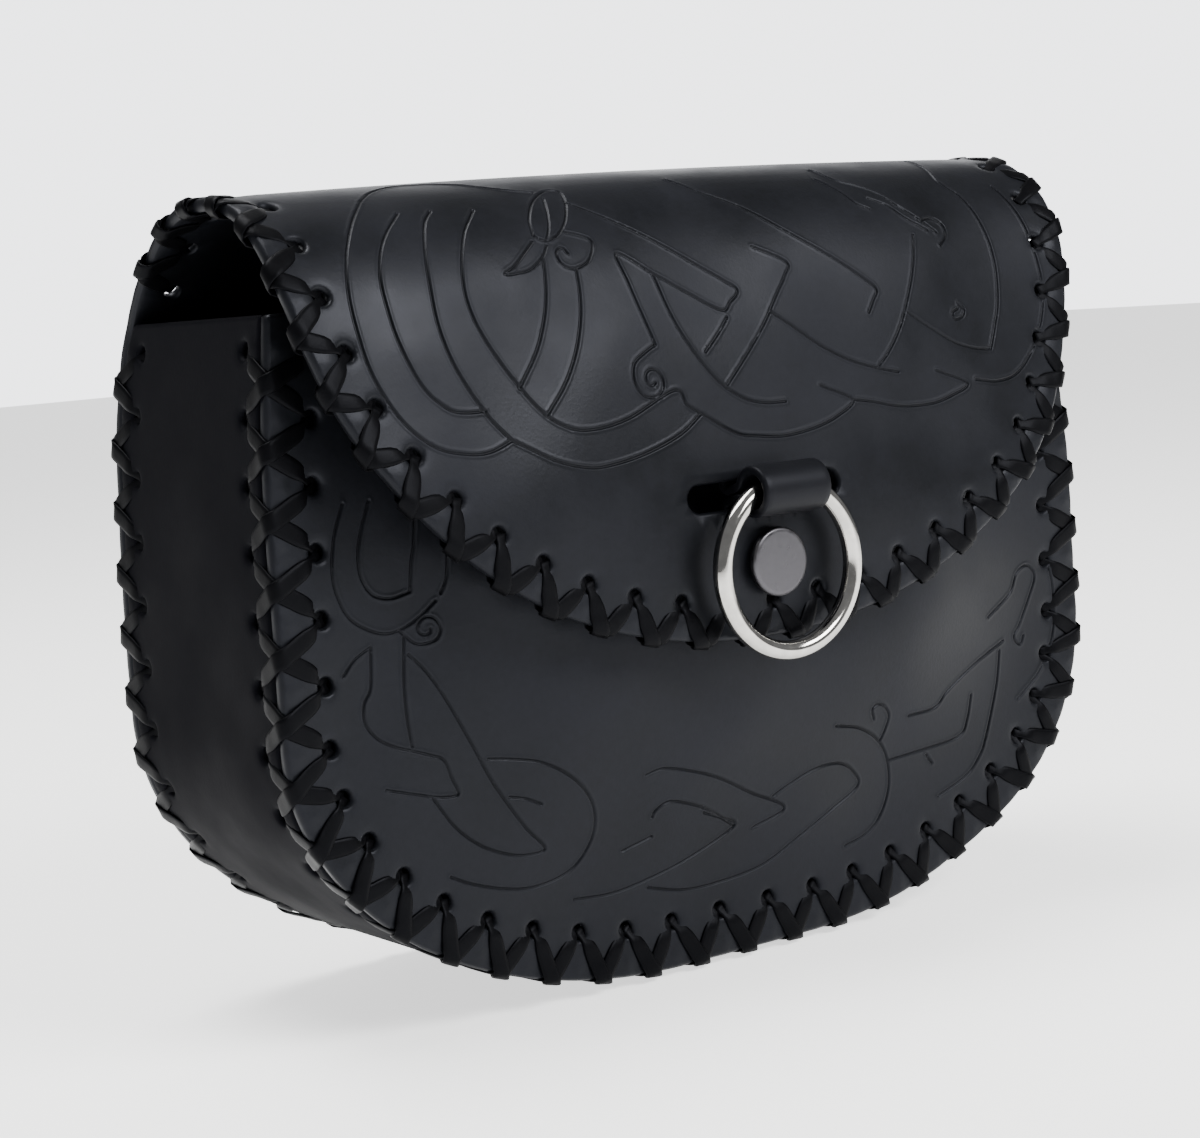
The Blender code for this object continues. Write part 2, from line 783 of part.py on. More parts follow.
def belt_rivets(materials, panels, parent, parts, cutters):
    """Four rivets that hold the belt loop to the back."""
    top = BELT_SLOT_FOOT + BELT_SLOT_HEIGHT
    clear = (BELT_LOOP_SEAM + BELT_SLOT_DEPTH / 2) / 2
    outwards = Vector((0, 1, 0))
    grip = 2 * LEATHER + 3 * GAP
    number = 0
    for height in (BELT_SLOT_FOOT - clear, top + clear):
        for across in (-BELT_RIVET_SPACING / 2, BELT_RIVET_SPACING / 2):
            number += 1
            seat = Vector((across, BACK_DEPTH + GAP + LEATHER, height))
            profile = rivet_profile(
                RIVET_CAP_RADIUS,
                RIVET_CAP_THICKNESS,
                grip,
                RIVET_POST_RADIUS,
                RIVET_CAP_RADIUS,
                WASHER_THICKNESS,
            )
            turned(
                f"belt_loop_rivet_{number}",
                profile,
                seat + outwards * GAP,
                outwards,
                materials["steel"],
                parent,
                parts,
            )
            drill = round_cutter(
                f"rivet_hole_{number}",
                seat,
                outwards,
                RIVET_POST_RADIUS + GAP,
                grip * 4,
                parent,
                cutters,
            )
            cut(panels["back_flap_panel"], drill)
            cut(panels["belt_loop"], drill)


def middle_depth():
    """The depth halfway between the ring loop's front and the belt loop's back."""
    front = loop_pivot().x - LOOP_RADIUS
    return (front + BELT_LOOP_BACK) / 2


def build():
    """Builds the whole pouch in its collection."""
    for obj in list(bpy.data.objects):
        bpy.data.objects.remove(obj)
    parts = bpy.data.collections.new("belt_pouch")
    cutters = bpy.data.collections.new("cutters")
    bpy.context.scene.collection.children.link(parts)
    bpy.context.scene.collection.children.link(cutters)
    cutters.hide_render = True
    origin = bpy.data.objects.new("pouch_origin", None)
    parts.objects.link(origin)
    origin.location = (0, -middle_depth(), 0)

    materials = {
        "leather": finish_of("black_leather", (0.022, 0.023, 0.027), 0.45),
        "lace": finish_of("black_lace", (0.016, 0.016, 0.017), 0.75),
        "strap": finish_of("black_strap", (0.024, 0.025, 0.030), 0.50),
        "steel": finish_of("polished_steel", (0.62, 0.60, 0.58), 0.22, 1.0),
    }
    panels = {
        "back_flap_panel": back_flap_panel(materials, origin, parts),
        "front_panel": front_panel(materials, origin, parts),
        "gusset": gusset(materials, origin, parts),
        "ring_loop": ring_loop(materials, origin, parts),
        "belt_loop": belt_loop(materials, origin, parts),
    }
    lace = materials["lace"]
    laced_edge("front_seam_lacing", front_seam_frames(), corner_section, lace, origin, parts)
    laced_edge("back_seam_lacing", back_seam_frames(), corner_section, lace, origin, parts)
    laced_edge("flap_edge_lacing", flap_edge_frames(), edge_section, lace, origin, parts)
    cut(panels["back_flap_panel"], slot_cutter(origin, cutters))
    closure_ring(materials, origin, parts)
    snap(materials, panels, origin, parts, cutters)
    belt_rivets(materials, panels, origin, parts, cutters)


build()
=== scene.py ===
# %% [markdown]
# # A laced leather belt pouch
# This script builds the looks of a black flap pouch around its imported CAD model. The CAD model gives
# the frame: every piece here sits where its solid sits. The first line below loads that frame, and the
# box around it is kept.

# %% Load the frame
import json
import math

import bmesh
import bpy
import numpy as np
from mathutils import Matrix, Vector, geometry, kdtree

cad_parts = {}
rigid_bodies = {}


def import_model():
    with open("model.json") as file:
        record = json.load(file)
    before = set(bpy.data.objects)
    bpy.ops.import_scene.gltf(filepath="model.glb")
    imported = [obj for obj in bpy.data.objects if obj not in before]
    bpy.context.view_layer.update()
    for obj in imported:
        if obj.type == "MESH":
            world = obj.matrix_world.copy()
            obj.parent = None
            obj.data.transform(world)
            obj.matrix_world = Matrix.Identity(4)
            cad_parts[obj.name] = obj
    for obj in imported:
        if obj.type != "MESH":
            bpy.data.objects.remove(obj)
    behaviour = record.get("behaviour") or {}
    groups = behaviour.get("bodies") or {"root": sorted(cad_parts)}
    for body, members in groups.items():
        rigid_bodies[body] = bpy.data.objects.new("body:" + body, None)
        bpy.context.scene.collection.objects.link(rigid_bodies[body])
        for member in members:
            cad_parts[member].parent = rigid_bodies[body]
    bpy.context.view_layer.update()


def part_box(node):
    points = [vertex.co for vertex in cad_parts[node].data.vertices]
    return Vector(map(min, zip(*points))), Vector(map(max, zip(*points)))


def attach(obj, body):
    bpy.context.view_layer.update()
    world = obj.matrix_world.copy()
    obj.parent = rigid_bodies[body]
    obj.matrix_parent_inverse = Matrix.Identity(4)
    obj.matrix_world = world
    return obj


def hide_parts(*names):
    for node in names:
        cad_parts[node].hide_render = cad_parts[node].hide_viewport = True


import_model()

# %% [markdown]
# ## Sizes
# A leather worker starts from a paper pattern with its sizes written on it. These are the sizes of the
# CAD model, in millimetres, and the meshes are scaled to metres only at the very end. Heights are above
# the surface that the pouch stands on. Depths run from the front panel's outer face to the back.

# %% Sizes of the pattern, in millimetres
MM = 0.001
LEATHER = 2.2
GAP = 0.3
LACE_ROOM = 1.2
HALF_WIDTH = 93.0
BODY_DEPTH = 57.5
MOUTH_HEIGHT = 126.0
SIDE_FOOT_HEIGHT = 55.5
FLAT_FOOT_HALF = 14.0
FOOT_ROUNDNESS = 2.05
MOUTH_TAPER = 4.0
FRONT_BELLY = 6.5
BELLY_REACH = 45.0
ROLL_HEIGHT = 145.8
FLAP_OVERHANG = 15.0
FLAP_TIP_HEIGHT = 61.9
FLAP_TIP_LENGTH = 79.0
FLAP_ROUNDNESS = 2.12
ROLL_FOOT_HEIGHT = 96.0
ROLL_SHAPE = (
    # depth, rise
    (0.995, 0.250),
    (0.925, 0.620),
    (0.710, 0.920),
    (0.490, 1.000),
    (0.285, 0.920),
    (0.135, 0.650),
    (0.042, 0.150),
)
FOOT_HEIGHT = GAP + LACE_ROOM
FLAP_HALF_WIDTH = HALF_WIDTH - MOUTH_TAPER
print("pattern:", 2 * HALF_WIDTH, "mm wide,", BODY_DEPTH, "mm deep, mouth at", MOUTH_HEIGHT)

# %% Sizes of the lacing, the ring and the fastenings, in millimetres
SEAM_HOLE_PITCH = 11.2
FLAP_HOLE_PITCH = 10.9
HOLE_INSET = 8.6
HOLE_BORDER = 2.0
FLAP_HOLE_INSET = 6.6
GUSSET_HOLE_INSET = 8.0
HOLE_RADIUS = 1.45
RING_WIRE = 3.5
RING_INSIDE = 26.5
LOOP_WIDTH = 15.0
LOOP_LEATHER = 1.6
LOOP_FOOT_UP = 10.0
LOOP_FOOT_DOWN = 18.2
SLOT_LENGTH = 35.0
SLOT_WIDTH = 5.0
SLOT_ABOVE_TIP = 26.1
SNAP_DROP = 12.7
CAP_RADIUS = 6.25
CAP_THICKNESS = 2.2
SNAP_POST_RADIUS = 2.0
SOCKET_RADIUS = 5.5
SOCKET_THICKNESS = 2.0
STUD_RADIUS = 5.0
WASHER_THICKNESS = 0.8
BELT_LOOP_WIDTH = 64.0
BELT_SLOT_HEIGHT = 42.0
BELT_SLOT_DEPTH = 6.0
BELT_SLOT_FOOT = 47.0
BELT_LOOP_SEAM = 13.0
BELT_RIVET_SPACING = 44.0
RIVET_CAP_RADIUS = 4.5
RIVET_CAP_THICKNESS = 1.2
RIVET_POST_RADIUS = 1.5
SLOT_HEIGHT = FLAP_TIP_HEIGHT + SLOT_ABOVE_TIP
SNAP_HEIGHT = SLOT_HEIGHT - SNAP_DROP
LACED_MARGIN = HOLE_INSET + HOLE_BORDER
RING_MEAN_RADIUS = (RING_INSIDE + RING_WIRE) / 2
RING_SAG = RING_MEAN_RADIUS - math.sqrt(RING_MEAN_RADIUS**2 - (LOOP_WIDTH / 2) ** 2)
TUNNEL_RADIUS = RING_WIRE / 2 + RING_SAG / 2 + GAP
LOOP_RADIUS = TUNNEL_RADIUS + LOOP_LEATHER
BELT_LOOP_BACK = BODY_DEPTH + GAP + BELT_SLOT_DEPTH + LEATHER
DEPTH_SHIFT = BELT_LOOP_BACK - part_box("belt_loop")[1].y / MM
print("ring:", RING_INSIDE, "mm inside; depths move by", round(DEPTH_SHIFT, 3), "mm into the frame")

# %% [markdown]
# ## Curves of the pattern
# The side view of the pouch is one curve: up the back, over the roll and down the flap. Every point of
# the back-and-flap leather is known by how far it lies along that curve and how far it lies from the
# middle, which is also how it lay on the bench before it was bent. A small class reads any such curve
# by the distance along it.

# %% A curve read by distance
class Path:
    """A plane curve through many points, read by the distance along it."""

    def __init__(self, points):
        self.points = np.array(points, float)
        steps = np.linalg.norm(np.diff(self.points, axis=0), axis=1)
        self.marks = np.concatenate([[0.0], np.cumsum(steps)])
        self.length = float(self.marks[-1])

    def at(self, distance):
        """The curve's points at these distances."""
        columns = [np.interp(distance, self.marks, self.points[:, k]) for k in (0, 1)]
        return np.stack(columns, axis=-1)

    def along(self, distance, reach=1.5):
        """The curve's directions there, of length one, over a reach to both sides."""
        ahead = self.at(np.minimum(np.asarray(distance) + reach, self.length))
        behind = self.at(np.maximum(np.asarray(distance) - reach, 0.0))
        span = ahead - behind
        return span / np.linalg.norm(span, axis=-1, keepdims=True)

    def spread(self, spacing):
        """Distances along the curve that lie about one spacing apart, both ends included."""
        count = max(2, round(self.length / spacing))
        return np.linspace(0.0, self.length, count + 1)


def smooth_curve(knots, steps):
    """A smooth (Catmull-Rom) curve through the knots, with so many points a span."""
    knots = np.array(knots, float)
    padded = np.vstack([2 * knots[0] - knots[1], knots, 2 * knots[-1] - knots[-2]])
    points = []
    for i in range(1, len(padded) - 2):
        a, b, c, d = padded[i - 1 : i + 3]
        for k in range(steps):
            t = k / steps
            bend = (2 * a - 5 * b + 4 * c - d) * t**2 + (3 * b - a - 3 * c + d) * t**3
            points.append(0.5 * (2 * b + (c - a) * t + bend))
    points.append(knots[-1])
    return np.array(points)


def roll_profile():
    """The outer face of the back and flap as a Path of (depth, height), from the foot to the tip."""
    depth = BODY_DEPTH + FLAP_OVERHANG
    rise = ROLL_HEIGHT - ROLL_FOOT_HEIGHT
    knots = [(BODY_DEPTH, FOOT_HEIGHT), (BODY_DEPTH, ROLL_FOOT_HEIGHT - rise / 4)]
    knots.append((BODY_DEPTH, ROLL_FOOT_HEIGHT))
    for share, up in ROLL_SHAPE:
        knots.append((share * depth - FLAP_OVERHANG, ROLL_FOOT_HEIGHT + up * rise))
    shoulder = knots[-1][1]
    for share in (0.45, 1.0):
        knots.append((-FLAP_OVERHANG, shoulder + (FLAP_TIP_HEIGHT - shoulder) * share))
    return Path(smooth_curve(knots, 12))


PROFILE = roll_profile()
print("back, roll and flap measure", round(PROFILE.length, 1), "mm along the leather")

# %% Outlines of the body and of the back-and-flap leather
def half_width_at(height):
    """Half the body's width at a height above its round corners."""
    rise = np.maximum(0.0, np.asarray(height) - SIDE_FOOT_HEIGHT) / (MOUTH_HEIGHT - SIDE_FOOT_HEIGHT)
    return HALF_WIDTH - MOUTH_TAPER * np.minimum(rise, 1.0) ** 2


def foot_rows(steps=60):
    """(half width, height) from the flat foot up round the corner to the straight side."""
    turn = np.linspace(math.pi / 2, 0.0, steps + 1)
    across = np.maximum(np.cos(turn), 0.0) ** (2 / FOOT_ROUNDNESS)
    down = np.maximum(np.sin(turn), 0.0) ** (2 / FOOT_ROUNDNESS)
    half = FLAT_FOOT_HALF + (HALF_WIDTH - FLAT_FOOT_HALF) * across
    height = SIDE_FOOT_HEIGHT - (SIDE_FOOT_HEIGHT - FOOT_HEIGHT) * down
    return np.stack([half, height], axis=-1)


def body_rows(top, steps=30):
    """(half width, height) of the body from its foot up to a height."""
    heights = np.linspace(SIDE_FOOT_HEIGHT, top, steps + 1)[1:]
    side = np.stack([half_width_at(heights), heights], axis=-1)
    return np.vstack([foot_rows(), side])


def back_flap_rows():
    """(half width, distance along the profile) of the one piece that makes back and flap."""
    rows = [(half, height - FOOT_HEIGHT) for half, height in body_rows(ROLL_FOOT_HEIGHT)]
    tip_start = PROFILE.length - FLAP_TIP_LENGTH
    for distance in np.linspace(rows[-1][1], tip_start, 61)[1:]:
        rows.append((float(half_width_at(PROFILE.at(distance)[1])), distance))
    for turn in np.linspace(0.0, math.pi / 2, 91)[1:]:
        across = max(math.cos(turn), 0.0) ** (2 / FLAP_ROUNDNESS)
        down = math.sin(turn) ** (2 / FLAP_ROUNDNESS)
        rows.append((FLAP_HALF_WIDTH * across, tip_start + FLAP_TIP_LENGTH * down))
    return np.array(rows)


def mirrored(rows):
    """A closed outline from rows of (half width, height): up the right side and down the left."""
    right = rows[rows[:, 0] > 1e-6]
    left = right[::-1] * (-1, 1)
    middle = rows[rows[:, 0] <= 1e-6][:1]
    return np.vstack([right, middle, left])


def body_outline():
    """The body's edge as a Path of (across, height), from the left of the mouth round to the right."""
    rows = body_rows(MOUTH_HEIGHT)
    return Path(np.vstack([rows[::-1] * (-1, 1), rows]))


OUTLINE = body_outline()
ROWS = back_flap_rows()
print("edge of the body:", round(OUTLINE.length, 1), "mm;", len(ROWS), "rows in the flap's outline")

# %% [markdown]
# ## Where the holes are
# The lace goes through evenly punched holes: one row round the front, one round the back, one round
# the flap's free edge, and two rows in the gusset that face the first two. A seam is kept as a list of
# frames, one every millimetre or so: a point on the edge, the direction that leads out of the leather
# there, and the direction that stands proud of it. Holes, lace and puckers all read the same frames.

# %% Seams as frames along an edge
def distance_to(height, start, end):
    """How far along the profile a height is reached between two distances."""
    rising = PROFILE.at(end)[1] > PROFILE.at(start)[1]
    for _ in range(40):
        middle = (start + end) / 2
        if (PROFILE.at(middle)[1] < height) == rising:
            start = middle
        else:
            end = middle
    return start


def back_distance(height):
    """How far along the profile the back reaches a height."""
    return distance_to(height, 0.0, PROFILE.length / 2)


def flap_distance(height):
    """How far along the profile the flap comes down to a height."""
    return distance_to(height, PROFILE.length / 2, PROFILE.length)


def free_edge_start():
    """Where the back's edge comes free of the gusset, with room for its lace."""
    lean = abs(PROFILE.along(back_distance(MOUTH_HEIGHT))[0])
    return back_distance(MOUTH_HEIGHT + GAP + (LEATHER + FOOT_HEIGHT) * lean)


def edge_between(low, high):
    """The back-and-flap's edge between two distances, from the left round to the right."""
    rows = ROWS[(ROWS[:, 1] > low) & (ROWS[:, 1] < high)]
    half = float(half_width_at(MOUTH_HEIGHT))
    if low > 0:
        left = np.vstack([[half, low], rows]) * (-1, 1)
        right = np.vstack([rows[::-1], [half, low]])
    else:
        left = np.vstack([[half, high], rows[::-1]]) * (-1, 1)
        right = np.vstack([rows, [half, high]])
    keep = right[:, 0] > 1e-6
    return Path(np.vstack([left, right[keep]]))


def hole_distances(length, pitch):
    """Even distances for the holes of an edge, with half a step before the first."""
    count = max(2, round(length / pitch))
    return (np.arange(count) + 0.5) * length / count


FLAP_EDGE = edge_between(free_edge_start(), 1e9)
BACK_EDGE = edge_between(-1.0, back_distance(MOUTH_HEIGHT))
FLAP_HOLES = hole_distances(FLAP_EDGE.length, FLAP_HOLE_PITCH)
BACK_HOLES = hole_distances(BACK_EDGE.length, SEAM_HOLE_PITCH)
FRONT_HOLES = hole_distances(OUTLINE.length, SEAM_HOLE_PITCH)
print("holes: front", len(FRONT_HOLES), " back", len(BACK_HOLES), " flap", len(FLAP_HOLES))


# %% Points of the holes on each flat pattern
def flap_outward(distance):
    """The direction out of the leather on the flat pattern, at a distance along the free edge."""
    along = FLAP_EDGE.along(distance)
    return np.stack([-along[..., 1], along[..., 0]], axis=-1)


def seam_outward(path, distance):
    """The same for an edge that runs down the left, along the foot and up the right."""
    along = path.along(distance)
    return np.stack([along[..., 1], -along[..., 0]], axis=-1)


flap_hole_points = FLAP_EDGE.at(FLAP_HOLES) - flap_outward(FLAP_HOLES) * FLAP_HOLE_INSET
back_hole_points = BACK_EDGE.at(BACK_HOLES) - seam_outward(BACK_EDGE, BACK_HOLES) * HOLE_INSET
front_hole_points = OUTLINE.at(FRONT_HOLES) - seam_outward(OUTLINE, FRONT_HOLES) * HOLE_INSET
print("first hole of the flap at", np.round(flap_hole_points[0], 1), "on its pattern")

# %% [markdown]
# ## A sheet of leather
# Each panel is cut flat, punched and tooled before it is sewn, so it is made here the same way. Points
# are scattered over the flat pattern, closer together where there is a tooled line or a hole, and joined
# into triangles that keep to the outline and the holes. Then the whole sheet is bent into its place,
# given its thickness, and its cut edges are rounded. The fine lines are real grooves in the mesh.

# %% Triangles over a flat pattern
def closed_steps(loop):
    """Unit vectors that point out of a closed loop's left side at each point."""
    loop = np.array(loop, float)
    travel = np.roll(loop, -1, axis=0) - np.roll(loop, 1, axis=0)
    travel /= np.linalg.norm(travel, axis=1, keepdims=True)
    return np.stack([travel[:, 1], -travel[:, 0]], axis=-1)


def inside(points, loop):
    """Which points lie inside a closed loop."""
    x, y = points[:, 0], points[:, 1]
    result = np.zeros(len(points), bool)
    a = np.array(loop, float)
    b = np.roll(a, -1, axis=0)
    for (ax, ay), (bx, by) in zip(a, b):
        if ay == by:
            continue
        crosses = (ay > y) != (by > y)
        result ^= crosses & (x < (bx - ax) * (y - ay) / (by - ay) + ax)
    return result


def thinned(points, spacing):
    """The points without those that share a small cell with an earlier one."""
    cells = np.floor(points / spacing).astype(np.int64)
    _, first = np.unique(cells, axis=0, return_index=True)
    return points[np.sort(first)]


def tree_of(points):
    """A search tree of points on a pattern."""
    tree = kdtree.KDTree(len(points))
    for i, (x, y) in enumerate(points):
        tree.insert((x, y, 0.0), i)
    tree.balance()
    return tree


def distances_to(points, tree):
    """How far each point is from its nearest one in the tree."""
    return np.array([tree.find((x, y, 0.0))[2] for x, y in points])


def triangulated(loops, loose):
    """Points and triangles that fill the first loop, except for the other loops."""
    points = np.vstack(list(loops) + [loose])
    edges = []
    start = 0
    for loop in loops:
        count = len(loop)
        edges += [(start + i, start + (i + 1) % count) for i in range(count)]
        start += count
    flat = [Vector((float(x), float(y))) for x, y in points]
    found = geometry.delaunay_2d_cdt(flat, edges, [], 0, 1e-5)
    verts = np.array([(v.x, v.y) for v in found[0]])
    faces = np.array([f for f in found[2] if len(f) == 3])
    centres = verts[faces].mean(axis=1)
    keep = inside(centres, loops[0])
    for loop in loops[1:]:
        keep &= ~inside(centres, loop)
    faces = faces[keep]
    a, b, c = verts[faces[:, 0]], verts[faces[:, 1]], verts[faces[:, 2]]
    turn = (b[:, 0] - a[:, 0]) * (c[:, 1] - a[:, 1]) - (b[:, 1] - a[:, 1]) * (c[:, 0] - a[:, 0])
    faces[turn < 0] = faces[turn < 0][:, ::-1]
    place_of = {}
    for new, olds in enumerate(found[3]):
        for old in olds:
            place_of[old] = new
    loop_ids = []
    start = 0
    for loop in loops:
        loop_ids.append([place_of[start + i] for i in range(len(loop))])
        start += len(loop)
    return verts, faces, loop_ids


print("flat patterns can be filled with triangles")

# %% A panel from its pattern
# A cut edge is rounded over RIM, in steps of (outwards, down). The outer face's loose points keep a
# distance from marks and rims, and no two marks share a cell. The inner face is coarser.
RIM = 0.45
RIM_STEPS = ((0.3 * RIM, 0.3 * RIM), (RIM, RIM))
BESIDE_RIM = 0.5
CLEAR_OF_RIM = 0.35
CLEAR_OF_MARKS = 0.8
MARK_CELL = 0.14
GRID = 3.0
INNER_GRID = GRID * 1.4
INNER_CLEAR = 0.8


def grid_points(loop, spacing):
    """A grid of even triangles over a loop's box."""
    low, high = np.min(loop, axis=0), np.max(loop, axis=0)
    rows = np.arange(low[1], high[1], spacing * 0.87)
    points = []
    for k, y in enumerate(rows):
        shift = spacing / 2 * (k % 2)
        points += [(x + shift, y) for x in np.arange(low[0], high[0], spacing)]
    return np.array(points)


def clear_of(points, loops, margin):
    """The points that lie inside the first loop and outside the rest, a margin from all of them."""
    keep = inside(points, loops[0])
    for loop in loops[1:]:
        keep &= ~inside(points, loop)
    points = points[keep]
    return points[distances_to(points, tree_of(np.vstack(loops))) > margin]


def sheet_mesh(name, outline, holes, place, relief, marks, turned_over=False):
    """A sheet's mesh, and its outer face's points on the pattern, which come first in the mesh.

    The outline runs anticlockwise on the pattern, and place(points, depth) bends it. The outline and
    the holes are the cut edges. Their rims are rounded, the outer face carries the relief, with finer
    triangles at the marks, and the inner face is plain. Where the bending turns the pattern over, so
    are its faces.
    """
    inset = [np.array(outline) - closed_steps(outline) * RIM]
    rims = [closed_steps(outline)]
    for hole in holes:
        away = -closed_steps(hole)
        inset.append(np.array(hole) - away * RIM)
        rims.append(away)
    plain = grid_points(outline, GRID)
    plain = plain[distances_to(plain, tree_of(marks)) > CLEAR_OF_MARKS]
    beside = np.array(outline) - closed_steps(outline) * (RIM + BESIDE_RIM)
    gathered = clear_of(np.vstack([thinned(marks, MARK_CELL), beside, plain]), inset, CLEAR_OF_RIM)
    verts, faces, ids = triangulated(inset, gathered)
    outer = place(verts, relief(verts))
    coarse = clear_of(grid_points(outline, INNER_GRID), inset, INNER_CLEAR)
    back_verts, back_faces, back_ids = triangulated(inset, coarse)
    inner = place(back_verts, np.full(len(back_verts), -LEATHER))
    points = [outer, inner]
    quads = []
    start = len(outer) + len(inner)
    for k, loop in enumerate(inset):
        flat = np.array(loop)
        count = len(flat)
        rings = [np.array(ids[k])]
        for out, down in RIM_STEPS:
            points.append(place(flat + rims[k] * out, relief(flat) - down))
            rings.append(np.arange(count) + start)
            start += count
        for out, down in reversed(RIM_STEPS):
            points.append(place(flat + rims[k] * out, np.full(count, down - LEATHER)))
            rings.append(np.arange(count) + start)
            start += count
        rings.append(np.array(back_ids[k]) + len(outer))
        for ring, following in zip(rings, rings[1:]):
            for i in range(count):
                j = (i + 1) % count
                quad = (ring[i], following[i], following[j], ring[j])
                quads.append(quad if k == 0 else quad[::-1])
    whole = np.vstack(points)
    all_faces = [tuple(int(v) for v in face) for face in faces]
    all_faces += [tuple(int(v) + len(outer) for v in face[::-1]) for face in back_faces]
    rim_start = len(all_faces)
    all_faces += [tuple(int(v) for v in quad) for quad in quads]
    if turned_over:
        all_faces = [face[::-1] for face in all_faces]
    mesh = bpy.data.meshes.new(name)
    mesh.from_pydata(to_frame(whole).tolist(), [], all_faces)
    inner_faces = np.zeros(len(all_faces), np.int32)
    inner_faces[len(faces) : rim_start] = 1
    mesh.polygons.foreach_set("material_index", inner_faces)
    mesh.shade_smooth()
    return mesh, verts


def framed(points):
    """From millimetres with depths to metres in the frame."""
    return (np.array(points, float) - (0.0, DEPTH_SHIFT, 0.0)) * MM


def to_frame(points):
    """The same, with the leather's soft unevenness."""
    return framed(settled(np.array(points, float)))


print("panels get a rim of", RIM, "mm on their cut edges")

# %% [markdown]
# ## Soft unevenness
# No leather lies dead flat. A few long, low waves move every point by a fraction of a millimetre, and
# lace and leather move together because they read the same waves. Close to the ring and the snap, which
# are rigid metal, the waves fade out.

# %% Long low waves in the leather
WAVES = (
    # direction of travel (x, y, z), wavelength in mm, height in mm, phase
    ((0.91, 0.10, 0.40), 71.0, 0.34, 0.7),
    ((-0.35, 0.20, 0.92), 53.0, 0.28, 2.1),
    ((0.62, -0.55, 0.56), 39.0, 0.18, 4.4),
    ((-0.80, 0.25, 0.54), 27.0, 0.10, 1.3),
)
# Flat round the ring and the snap, which are rigid, and close to the ground. Depth counts less there.
CALM_REACH = 22.0
CALM_DEPTH = 1.6
GROUND_REACH = 8.0
LOWEST = 0.05
# The back moves the other way than the front, 0.35 as far.
FRONT_TO_BACK = 1.35


def settled(points):
    """Points moved in and out a little by the waves."""
    push = np.zeros(len(points))
    for direction, wavelength, height, phase in WAVES:
        way = points @ (np.array(direction) / np.linalg.norm(direction))
        push += height * np.sin(2 * math.pi * way / wavelength + phase)
    centre = np.array((0.0, -FLAP_OVERHANG, SLOT_HEIGHT - SNAP_DROP / 2))
    reach = np.linalg.norm((points - centre) / (1.0, CALM_DEPTH, 1.0), axis=1)
    calm = np.clip((reach - CALM_REACH) / CALM_REACH, 0.0, 1.0)
    calm *= np.clip(points[:, 2] / GROUND_REACH, 0.0, 1.0)
    towards_back = np.clip(points[:, 1] / BODY_DEPTH, 0.0, 1.0)
    moved = points.copy()
    moved[:, 1] += (FRONT_TO_BACK * towards_back - 1.0) * push * calm
    moved[:, 2] = np.maximum(moved[:, 2], LOWEST)
    return moved


print("waves move the leather by up to", round(sum(w[2] for w in WAVES), 2), "mm")

# %% [markdown]
# ## Tooled lines
# The flap and the front carry knotwork: ribbons that loop and cross, with a spiral here and a beast's
# head there. On damp leather such a line is cut with a swivel knife and opened with a blunt tool. Each
# line is written down here as a few points, read off, and a smooth curve runs through them. On
# the flap the second number is the distance up from the tip, and on the front it is the height.

# %% Knotwork on the flap: (across, up from the tip), in millimetres
def curl(centre, start, radii):
    """Knots of a spiral that winds anticlockwise, with its radius at each eighth of a turn."""
    turns = [math.radians(start + 45 * k) for k in range(len(radii))]
    return tuple((centre[0] + r * math.cos(t), centre[1] + r * math.sin(t)) for r, t in zip(radii, turns))


